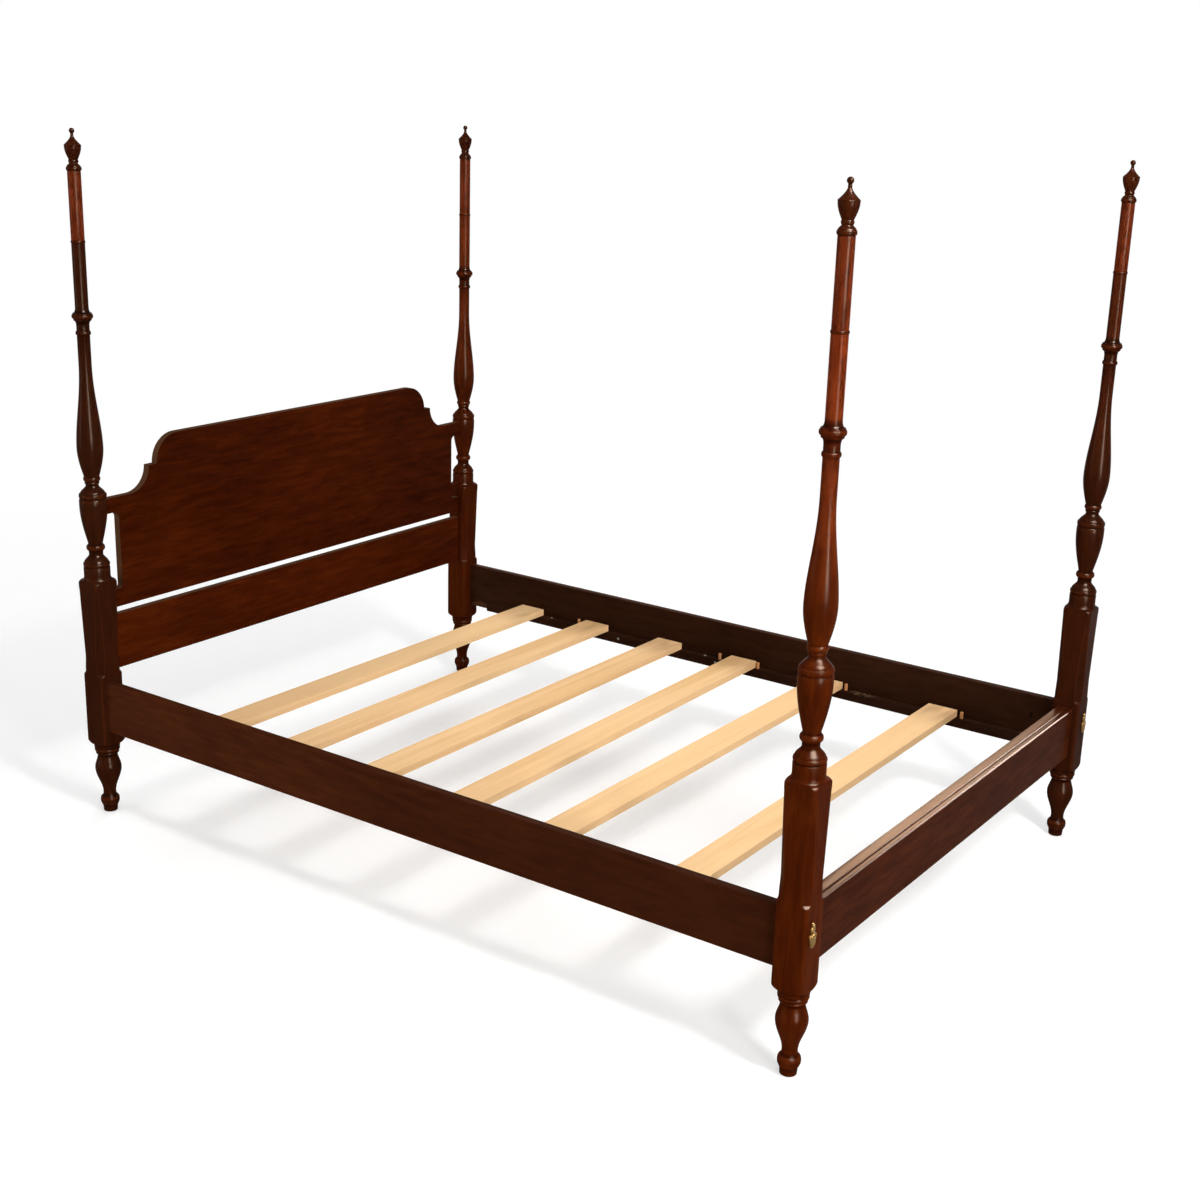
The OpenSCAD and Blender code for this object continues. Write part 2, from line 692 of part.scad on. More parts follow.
module headboard_panel() {
    color(mahogany) translate([0, post_y + head_t / 2, 0]) rotate([90, 0, 0])
        linear_extrude(height = head_t) union() {
            half_panel_outline();
            mirror([1, 0]) half_panel_outline();
        }
    color(mahogany) for (side = [left, right])
        translate([side * (inner_x + tenon_l / 2 - overrun / 2), post_y, panel_z + slot_foot / 2])
            cube([tenon_l + overrun, head_tenon_t, panel_tenon_h], center = true);
}

module headboard_rail() {
    color(mahogany) translate([0, post_y, head_rail_z + head_rail_h / 2]) {
        cube([2 * inner_x, head_t, head_rail_h], center = true);
        cube([2 * (inner_x + tenon_l), head_tenon_t, head_tenon_h], center = true);
    }
}

// The foot rail's section: flat top, sunk bead between two lines, rounded outer edge at -Y
module foot_rail_section() {
    flat_y = foot_rail_t / 2 - moulding_flat;
    bead_y = flat_y - moulding_quirk - moulding_bead;
    difference() {
        translate([-foot_rail_t / 2, rail_z]) square([foot_rail_t, rail_h]);
        translate([-foot_rail_t / 2 - overrun, rail_top - moulding_quirk])
            square([flat_y + foot_rail_t / 2 + overrun, moulding_quirk + overrun]);
        translate([flat_y - moulding_quirk, rail_top - 2 * moulding_quirk])
            square([moulding_quirk, 3 * moulding_quirk]);
        translate([-foot_rail_t / 2 - overrun, rail_top - moulding_quirk - moulding_round])
            square([moulding_round + overrun, moulding_quirk + moulding_round + overrun]);
    }
    intersection() {
        translate([bead_y + moulding_bead / 2, rail_top - moulding_quirk - moulding_bead * 0.3])
            circle(d = moulding_bead);
        translate([bead_y, rail_top - 2 * moulding_bead]) square([moulding_bead, 3 * moulding_bead]);
    }
    translate([moulding_round - foot_rail_t / 2, rail_top - moulding_quirk - moulding_round])
        circle(r = moulding_round);
}

module foot_rail() {
    color(mahogany) translate([0, -post_y, 0]) {
        translate([-inner_x, 0, 0]) rotate([90, 0, 90])
            linear_extrude(height = 2 * inner_x) foot_rail_section();
        translate([0, 0, rail_z + rail_h / 2])
            cube([2 * (inner_x + tenon_l), foot_tenon_t, tenon_h], center = true);
    }
}

// A plain rail's section across its thickness, with eased upper edges
module side_rail_section() {
    difference() {
        translate([rail_inner_x, rail_z]) square([side_rail_t, rail_h]);
        for (x = [rail_inner_x, rail_outer_x])
            translate([x, rail_top]) circle(r = rail_ease, $fn = 4);
    }
}

// Places something on the right ledger's inner face, its +Z pointing into the side rail
module at_ledger_screws() {
    for (i = [0:screw_count - 1])
        translate([ledger_inner_x, screw_shift + (i - (screw_count - 1) / 2) * screw_pitch, screw_z])
            rotate([0, 90, 0]) children();
}

module screw_holes() {
    at_ledger_screws() {
        translate([0, 0, -overrun])
            cylinder(d = screw_d + 2 * pin_gap, h = ledger_w + screw_bite + 2 * overrun);
        cylinder(d1 = screw_head_d + 2 * pin_gap, d2 = screw_d, h = (screw_head_d - screw_d) / 2);
    }
}

module side_rail(side) {
    color(mahogany) mirror([side < 0 ? 1 : 0, 0, 0]) difference() {
        union() {
            translate([0, inner_y, 0]) rotate([90, 0, 0])
                linear_extrude(height = 2 * inner_y) side_rail_section();
            translate([rail_mid_x, 0, rail_z + rail_h / 2])
                cube([stub_tenon_t, 2 * (inner_y + stub_tenon_l), tenon_h], center = true);
        }
        screw_holes();
        for (end = [foot, head]) {
            translate([rail_mid_x, end * (inner_y + stub_tenon_l + overrun), bolt_z]) rotate([90 * end, 0, 0])
                cylinder(d = bolt_d + 2 * fit_gap, h = stub_tenon_l + nut_inset + nut_t + 8);
            translate([rail_inner_x, end * nut_y, bolt_z])
                cube([side_rail_t + nut_w + 2 * fit_gap, nut_t + 2 * fit_gap, nut_w + 2 * fit_gap],
                     center = true);
        }
    }
}

module side_rail_left() { side_rail(left); }
module side_rail_right() { side_rail(right); }

// Where a peg stands along the bed: beside its slat, which may lie a little askew
function peg_y(peg, side) =
    slat_y[peg[0]] + side * peg_x * tan(slat_turn[peg[0]])
    + peg[1] * (slat_w / 2 / cos(slat_turn[peg[0]]) + peg[2] + peg_d / 2);

module peg_places(side) {
    for (peg = pegs) translate([side * peg_x, peg_y(peg, side), ledger_top]) children();
}

module ledger(side) {
    color(dark_ledger) difference() {
        mirror([side < 0 ? 1 : 0, 0, 0]) difference() {
            translate([ledger_inner_x, ledger_end_gap - inner_y, rail_z])
                cube([ledger_w, 2 * (inner_y - ledger_end_gap), ledger_h]);
            screw_holes();
            for (y = top_screw_y)
                translate([peg_x, y, ledger_top - top_screw_l])
                    cylinder(d = screw_d + 2 * pin_gap, h = top_screw_l + overrun);
        }
        peg_places(side) translate([0, 0, -peg_depth])
            cylinder(d = peg_d + 2 * pin_gap, h = peg_depth + overrun);
    }
}

module ledger_left() { ledger(left); }
module ledger_right() { ledger(right); }

// Countersunk screws into the side rail, and short domed ones in the ledger's top
module ledger_screws(side) {
    color(steel) mirror([side < 0 ? 1 : 0, 0, 0]) {
        at_ledger_screws() {
            cylinder(d1 = screw_head_d, d2 = screw_d, h = (screw_head_d - screw_d) / 2);
            cylinder(d = screw_d, h = ledger_w + screw_bite);
        }
        for (y = top_screw_y) translate([peg_x, y, ledger_top]) {
            translate([0, 0, overrun - top_screw_l]) cylinder(d = screw_d, h = top_screw_l);
            cylinder(d1 = screw_head_d, d2 = screw_head_d / 2, h = top_screw_head_h);
        }
    }
}

module ledger_screws_left() { ledger_screws(left); }
module ledger_screws_right() { ledger_screws(right); }

module slat_pegs(side) {
    color(pale_wood) peg_places(side) translate([0, 0, -peg_depth])
        cylinder(d = peg_d, h = peg_depth + peg_h);
}

module slat_pegs_left() { slat_pegs(left); }
module slat_pegs_right() { slat_pegs(right); }

module slat(i) {
    color(pale_wood) translate([0, slat_y[i], slat_z + slat_t / 2]) rotate([0, 0, slat_turn[i]])
        cube([slat_l, slat_w, slat_t], center = true);
}

module slat_1() { slat(0); }
module slat_2() { slat(1); }
module slat_3() { slat(2); }
module slat_4() { slat(3); }
module slat_5() { slat(4); }
module slat_6() { slat(5); }

// Places something at each side rail's end, its +Z pointing out of the post
module at_bolts(z) {
    for (side = [left, right], end = [foot, head])
        translate([side * rail_mid_x, end * outer_y, z]) rotate([-90 * end, 0, 0]) children();
}

module bed_bolts() {
    reach = recess_depth + (block_w - recess_depth) + nut_inset + nut_t;
    color(steel) at_bolts(bolt_z) {
        translate([0, 0, -reach]) cylinder(d = bolt_d, h = reach - recess_depth + overrun);
        translate([0, 0, -recess_depth]) cylinder(d = bolt_head_w / cos(30), h = bolt_head_h, $fn = 6);
    }
}

module bed_bolt_nuts() {
    color(steel) at_bolts(bolt_z) translate([0, 0, -block_w - nut_inset]) difference() {
        cube([nut_w, nut_w, nut_t], center = true);
        cylinder(d = bolt_d + 2 * pin_gap, h = 2 * nut_t, center = true);
    }
}

// The cover's face, seen from outside with the pin at the origin and the body below it
module cover_face() {
    body_h = cover_h - cover_shoulder_z;
    circle(d = cover_boss_d);
    translate([0, -cover_neck_z - cover_bead_d * 0.4]) circle(d = cover_bead_d);
    translate([-cover_boss_d * 0.35, -cover_shoulder_z]) square([cover_boss_d * 0.7, cover_shoulder_z]);
    translate([-cover_w / 2, -cover_shoulder_z - body_h * 0.55]) square([cover_w, body_h * 0.4]);
    translate([0, -cover_shoulder_z - body_h * 0.15]) scale([1, 0.3]) circle(d = cover_w);
    translate([0, -cover_shoulder_z - body_h * 0.55]) scale([1, 0.9 * body_h / cover_w]) circle(d = cover_w);
}

module bolt_cover(side, end) {
    color(brass) translate([side * rail_mid_x, end * (outer_y + rest_gap), cover_pin_z])
        rotate([90, 0, end < 0 ? 0 : 180]) difference() {
            union() {
                linear_extrude(height = cover_t) cover_face();
                for (i = [0:flute_count - 1])
                    translate([(i - (flute_count - 1) / 2) * flute_pitch, -cover_shoulder_z - 4, cover_t])
                        rotate([90, 0, 0])
                            cylinder(d = flute_pitch * 0.8, h = (cover_h - cover_shoulder_z) * 0.62);
            }
            translate([0, 0, -overrun])
                cylinder(d = cover_pin_d + 2 * pin_gap, h = cover_t + 2 * overrun);
        }
}

module bolt_cover_foot_left() { bolt_cover(left, foot); }
module bolt_cover_foot_right() { bolt_cover(right, foot); }
module bolt_cover_head_left() { bolt_cover(left, head); }
module bolt_cover_head_right() { bolt_cover(right, head); }

module cover_pins() {
    color(brass) at_bolts(cover_pin_z) {
        translate([0, 0, -cover_pin_depth])
            cylinder(d = cover_pin_d, h = cover_pin_depth + cover_t + 2 * rest_gap + pin_head_h / 2);
        translate([0, 0, cover_t + 2 * rest_gap])
            cylinder(d1 = pin_head_d, d2 = pin_head_d * 0.6, h = pin_head_h);
    }
}

post_foot_left();
post_foot_right();
post_head_left();
post_head_right();
top_column_foot_left();
top_column_foot_right();
top_column_head_left();
top_column_head_right();
finial_foot_left();
finial_foot_right();
finial_head_left();
finial_head_right();
headboard_panel();
headboard_rail();
foot_rail();
side_rail_left();
side_rail_right();
ledger_left();
ledger_right();
ledger_screws_left();
ledger_screws_right();
slat_pegs_left();
slat_pegs_right();
slat_1();
slat_2();
slat_3();
slat_4();
slat_5();
slat_6();
bed_bolts();
bed_bolt_nuts();
bolt_cover_foot_left();
bolt_cover_foot_right();
bolt_cover_head_left();
bolt_cover_head_right();
cover_pins();
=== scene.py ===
import json
import math

import bmesh
import bpy
from bpy.props import FloatProperty, FloatVectorProperty, IntProperty, PointerProperty
from mathutils import Matrix, Vector

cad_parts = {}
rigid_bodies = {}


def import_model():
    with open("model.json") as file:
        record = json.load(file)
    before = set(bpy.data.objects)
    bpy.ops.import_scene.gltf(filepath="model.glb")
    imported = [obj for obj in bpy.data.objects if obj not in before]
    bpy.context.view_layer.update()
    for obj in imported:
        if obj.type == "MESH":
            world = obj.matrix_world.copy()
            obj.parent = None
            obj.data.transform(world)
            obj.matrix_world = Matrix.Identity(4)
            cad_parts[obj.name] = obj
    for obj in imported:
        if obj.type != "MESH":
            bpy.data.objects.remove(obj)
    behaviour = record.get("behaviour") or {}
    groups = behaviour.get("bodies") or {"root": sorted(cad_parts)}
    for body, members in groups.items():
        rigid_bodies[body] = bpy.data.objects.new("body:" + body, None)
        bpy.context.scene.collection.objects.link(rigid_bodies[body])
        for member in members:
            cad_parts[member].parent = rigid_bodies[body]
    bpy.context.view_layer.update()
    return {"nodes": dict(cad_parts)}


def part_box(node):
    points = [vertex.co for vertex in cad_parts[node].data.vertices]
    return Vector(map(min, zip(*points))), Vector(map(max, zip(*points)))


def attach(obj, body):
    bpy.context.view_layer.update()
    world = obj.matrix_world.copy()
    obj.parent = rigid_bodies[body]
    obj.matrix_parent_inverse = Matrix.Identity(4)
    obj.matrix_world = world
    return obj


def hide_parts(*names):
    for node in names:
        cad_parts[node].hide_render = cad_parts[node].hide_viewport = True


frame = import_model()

bl_info = {
    "name": "Poster bed",
    "version": (1, 0, 0),
    "blender": (4, 5, 0),
    "location": "3D View > Sidebar > Poster bed",
    "description": "Dresses the four-poster bed: turned posts, headboard, rails, slats and brass",
    "category": "Object",
}

MM = 0.001
ROOT_BODY = "bed"
SIDES = {"left": -1, "right": 1}
ENDS = {"foot": -1, "head": 1}
CORNERS = [(end, side) for end in ENDS for side in SIDES]
AXES = {"x": 0, "y": 1, "z": 2}


def low(node):
    """Lowest corner of a CAD node, in metres."""
    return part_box(node)[0]


def high(node):
    """Highest corner of a CAD node, in metres."""
    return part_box(node)[1]


def middle(node):
    """Middle of a CAD node's box, in metres."""
    return (low(node) + high(node)) / 2


def length(text, value, least=0.0, most=3.0):
    """A size in metres that the sidebar shows."""
    return FloatProperty(description=text, default=value, min=least, max=most,
                         unit="LENGTH", subtype="DISTANCE", precision=4)


def colour(text, value):
    """A colour that the sidebar shows."""
    return FloatVectorProperty(description=text, default=value, size=3, min=0.0, max=1.0,
                               subtype="COLOR")


def share(text, value, most=1.0):
    """A plain number from nought upwards that the sidebar shows."""
    return FloatProperty(description=text, default=value, min=0.0, max=most)


def number_of(text, value, least, most):
    """A whole number that the sidebar shows."""
    return IntProperty(description=text, default=value, min=least, max=most)


# Sizes and colours

class PostSizes(bpy.types.PropertyGroup):
    """Sizes of the turned posts that don't follow from the frame."""
    steps: number_of("Faces round each turning", 128, 64, 160)
    arris: length("Radius of the block's corners", 0.008, 0.002, 0.012)
    chamfer_low: length("Depth of the corner chamfer at its lower end", 0.011)
    chamfer_high: length("Depth of the corner chamfer at its upper end", 0.005)
    tongue_height: length("Height of the lamb's tongue's hollow", 0.046)
    tongue_nose: length("Height of the lamb's tongue's nose", 0.008)
    runout: length("Height of the chamfer's run-out under the shoulder", 0.014)
    easing: length("How far the block's edges blend into each other", 0.0016)


class HeadboardSizes(bpy.types.PropertyGroup):
    """Sizes of the headboard's shaped outline. The reaches are from the post's axis."""
    thickness: length("Thickness of the panel", 0.020)
    cove_reach: length("To the cove's start on the arm", 0.107)
    slot_reach: length("To the slot's inner side", 0.069)
    arm_reach: length("To the arm's end", 0.0134)
    arm_height: length("Height of the arm into the post", 0.038)
    slot_foot: length("From the panel's lower edge to the slot", 0.046)
    cove_radius: length("Radius of the hollow quarter round over each arm", 0.063)
    step_width: length("Width of the small step between the quarter rounds", 0.026)
    shoulder_radius: length("Radius of the panel's upper corners", 0.072)
    slot_top_radius: length("Radius at the slot's upper end", 0.016)
    slot_foot_radius: length("Radius at the slot's lower end", 0.008)
    easing: length("Radius of the panel's eased edges", 0.0016)


class RailSizes(bpy.types.PropertyGroup):
    """Sizes of the rails' mouldings and eased edges."""
    flat: length("Width of the flat on the foot rail's top", 0.0220)
    arris: length("Radius of the flat's outer edge", 0.0022)
    quirk: length("Depth of the step beside the flat", 0.002)
    groove: length("Width and depth of the line in the step's corner", 0.0016)
    outer_round: length("Radius of the foot rail's outer edge", 0.005)
    easing: length("Radius of the rails' eased edges", 0.0012)


class SlatSizes(bpy.types.PropertyGroup):
    """Sizes of the slats, ledgers and pegs."""
    easing: length("Radius of the slats' sawn edges", 0.0009)
    peg_width: length("Diameter of a stop peg", 0.009)
    peg_easing: length("Width of a peg's rounded top edge", 0.0011)


class CoverSizes(bpy.types.PropertyGroup):
    """Sizes of the brass bolt covers."""
    width: length("Width of the fluted body", 0.027)
    height: length("Height from the foot to the pin", 0.048)
    thickness: length("Thickness at the pin", 0.003)
    relief: length("Height of the flutes over the plate", 0.0021)
    flutes: number_of("Number of flutes", 5, 3, 9)


class Finishes(bpy.types.PropertyGroup):
    """Colours of the finishes."""
    mahogany_dark: colour("Dark streaks of the finish", (0.0225, 0.0032, 0.0006))
    mahogany_mid: colour("Usual tone of the finish", (0.0485, 0.0074, 0.0010))
    mahogany_light: colour("Lit streaks of the finish", (0.0940, 0.0160, 0.0020))
    column_mid: colour("Redder wood of the column tops", (0.1500, 0.0215, 0.0042))
    column_light: colour("Streaks of the column tops", (0.3100, 0.0500, 0.0125))
    slat_dark: colour("Darker grain of the slats", (0.790, 0.480, 0.212))
    slat_light: colour("Usual tone of the slats", (0.920, 0.592, 0.305))
    peg: colour("Stop pegs", (0.560, 0.250, 0.100))
    brown: colour("Browner finish of the rails", (0.0600, 0.0160, 0.0056))
    dull: colour("Worn and dusty finish of the far posts", (0.0240, 0.0075, 0.0030))
    inside_dark: colour("Thin finish inside a rail", (0.0185, 0.0066, 0.0031))
    inside_light: colour("Its lighter streaks", (0.0285, 0.0104, 0.0047))
    brass: colour("Polished brass", (0.370, 0.215, 0.070))
    brass_tarnish: colour("Tarnished brass in the hollows", (0.110, 0.060, 0.018))
    steel: colour("Bolts, nuts and screws", (0.270, 0.250, 0.225))


class StageSettings(bpy.types.PropertyGroup):
    """Floor, lamps and air of the studio."""
    floor: colour("Pale floor as the lamps see it", (0.52, 0.51, 0.50))
    floor_shown: share("Floor's white as the camera sees it", 1.15, 2.0)
    shadow_lift: share("How far the floor's shadow is paled for the camera", 0.4)
    fill: share("Strength of the light from all round", 0.35, 3.0)
    key: share("Brightness of the small lamp above the foot", 68.0, 500.0)
    front: share("Brightness of the tall lamp in front", 46.0, 500.0)
    window: share("Brightness of the tall lamp at the left", 38.0, 500.0)
    far: share("Brightness of the wide lamp behind", 8.0, 100.0)
    sheen: share("Brightness of the panels that only the polish shows", 950.0, 3000.0)
    rail_sheen: share("Brightness that the foot rail's top mirrors", 76.0, 500.0)
    edge_sheen: share("Brightness that the foot rail's rounded edges mirror", 250.0, 900.0)
    overhead: share("Brightness of the wide lamp above", 0.8, 100.0)


SETTINGS = {
    "bed_posts": PostSizes, "bed_headboard": HeadboardSizes, "bed_rails": RailSizes,
    "bed_slats": SlatSizes, "bed_covers": CoverSizes, "bed_finishes": Finishes,
    "bed_stage": StageSettings,
}


# Finishes

class Wire:
    """One socket of a finish, so that its maths reads as plain sums."""

    def __init__(self, bench, socket):
        self.bench = bench
        self.socket = socket

    def __add__(self, other):
        return self.bench.sum("ADD", self, other)

    __radd__ = __add__

    def __sub__(self, other):
        return self.bench.sum("SUBTRACT", self, other)

    def __rsub__(self, other):
        return self.bench.sum("SUBTRACT", other, self)

    def __mul__(self, other):
        return self.bench.sum("MULTIPLY", self, other)

    __rmul__ = __mul__

    def __truediv__(self, other):
        return self.bench.sum("DIVIDE", self, other)

    def __pow__(self, other):
        return self.bench.sum("POWER", self, other)


class Bench:
    """The node tree of one finish."""

    def __init__(self, tree):
        self.tree = tree
        self.tree.nodes.clear()

    def node(self, kind, settings=None, sockets=None, out=0):
        """Adds a node: first its settings, then its sockets. Gives one of its outputs."""
        made = self.tree.nodes.new("ShaderNode" + kind)
        for key, value in (settings or {}).items():
            if key == "stops":
                self.set_stops(made.color_ramp, value)
            else:
                setattr(made, key, value)
        for key, value in (sockets or {}).items():
            if isinstance(value, Wire):
                self.tree.links.new(value.socket, made.inputs[key])
            elif made.inputs[key].type == "RGBA" and len(value) == 3:
                made.inputs[key].default_value = (*value, 1.0)
            else:
                made.inputs[key].default_value = value
        return Wire(self, made.outputs[out]) if len(made.outputs) else made

    def set_stops(self, ramp, stops):
        """Stops of a colour ramp, as place and colour from left to right."""
        ramp.elements[0].position, ramp.elements[-1].position = stops[0][0], stops[-1][0]
        for place, _ in stops[1:-1]:
            ramp.elements.new(place)
        for element, (_, tint) in zip(ramp.elements, stops):
            element.color = (*tint, 1.0)

    def sum(self, operation, first, second):
        """One step of maths on numbers."""
        return self.node("Math", {"operation": operation}, {0: first, 1: second})

    def place(self):
        """The piece's own coordinates."""
        return self.node("TexCoord", out="Object")

    def grain(self, place, along, stretch, shift=0.0):
        """Coordinates drawn out along the grain, so that a noise becomes streaks."""
        scale = [1.0, 1.0, 1.0]
        scale[AXES[along]] = stretch
        return self.node("Mapping", None, {"Vector": place, "Scale": scale,
                                           "Location": (shift, 2.3 * shift, shift)})

    def noise(self, place, scale, detail=2.0, roughness=0.5, distortion=0.0):
        """Soft random values about 0.5."""
        return self.node("TexNoise", None, {"Vector": place, "Scale": scale, "Detail": detail,
                                            "Roughness": roughness, "Distortion": distortion})

    def between(self, value, start, end, to_start=0.0, to_end=1.0):
        """Runs smoothly from one number to another while value goes from start to end."""
        return self.node("MapRange", {"interpolation_type": "SMOOTHSTEP"},
                         {0: value, 1: start, 2: end, 3: to_start, 4: to_end})

    def blend(self, mask, under, over):
        """Two colours mixed by a mask."""
        return self.node("Mix", {"data_type": "RGBA"}, {0: mask, 6: under, 7: over}, out=2)

    def axis(self, place, name):
        """One of the three coordinates."""
        return self.node("SeparateXYZ", None, {0: place}, out=AXES[name])

    def crest(self):
        """How far the surface stands out of its neighbourhood, from -1 to 1."""
        return self.node("Attribute", {"attribute_name": "crest"}, out="Fac")

def finish(name):
    """A new material and its bench."""
    material = bpy.data.materials.new(name)
    material.use_nodes = True
    return material, Bench(material.node_tree)


def dimmed(colour_value, part):
    """A colour times a number."""
    return tuple(part * c for c in colour_value)


# Faintly warm gloss; browns of marks, of the slats' right ends and of old iron; the painted
# reflection of narrow faces and the painted glint of scratches
POLISH_TINT = (1.0, 0.80, 0.62, 1.0)
NARROW_FACE_PAINTED_SHEEN = (0.090, 0.046, 0.023)
RUBBED_BROWN = (0.085, 0.040, 0.018)
SCRATCH_PAINTED_GLINT = (0.34, 0.20, 0.11)
SCUFF_BROWN = (0.060, 0.024, 0.010)
KNOT_BROWN = (0.22, 0.09, 0.035)
RIGHT_END_BROWN = (0.42, 0.22, 0.10)
IRON_BLACK = (0.014, 0.009, 0.006)
RUST_BROWN = (0.035, 0.016, 0.009)


class Finish:
    """A new material. Its colour is laid on step by step, and its grain runs along one axis."""

    def __init__(self, name, along="z", shift=0.0):
        self.colours = bpy.context.scene.bed_finishes
        self.material, self.bench = finish(name)
        self.place = self.bench.place()
        self.along, self.shift = along, shift

    def axis(self, name):
        """One of the piece's own coordinates."""
        return self.bench.axis(self.place, name)

    def drawn(self, stretch):
        """The piece's own coordinates, drawn out along the grain."""
        return self.bench.grain(self.place, self.along, stretch, self.shift)

    def streaked(self, stretch, *pattern):
        """Noise drawn out along the grain."""
        return self.bench.noise(self.drawn(stretch), *pattern)

    def patch(self, centre, reach, soft=0.25):
        """1 in an ellipse of Y and Z round a centre, fading to 0 at its edge."""
        across = (self.axis("y") - centre[0]) / reach[0]
        up = (self.axis("z") - centre[1]) / reach[1]
        return self.bench.between(across * across + up * up, 1.0, 1.0 - soft)

    def ramp(self, value, *stops):
        """Makes the colour follow a value. A stop is a place and a colour."""
        self.colour = self.bench.node("ValToRGB", {"stops": stops}, {"Fac": value})

    def mix(self, mask, under, over):
        """Makes the colour a mixture of two."""
        self.colour = self.bench.blend(mask, under, over)

    def lay(self, mask, over):
        """Lays another colour over the one that is there."""
        self.mix(mask, self.colour, over)

    def surface(self, roughness, relief, depth, others):
        """The finished material. The depth of its relief is in metres, and others holds more
        sockets of its surface."""
        normal = self.bench.node("Bump", None, {"Height": relief, "Distance": depth,
                                                "Strength": 1.0})
        shell = self.bench.node("BsdfPrincipled", None, {
            "Base Color": self.colour, "Roughness": roughness, "Normal": normal, **others})
        self.bench.node("OutputMaterial", None, {"Surface": shell})
        return self.material


# Heights in metres between which a post's finish changes
SHAFT_REDDENS = (0.90, 1.36)
COLLAR_STARTS, COLLAR_ENDS = (1.222, 1.230), (1.298, 1.288)
RING_STARTS = (1.4405, 1.4425)
# Middle and reach, as Y and Z, of the rubbed patch on the right rail and of the scratches with their
# painted glint on the right ledger
RUBBED_PATCH = ((0.924, 0.228), (0.041, 0.021))
SCRATCH_GLINT_PATCH = ((-0.430, 0.262), (0.055, 0.012))


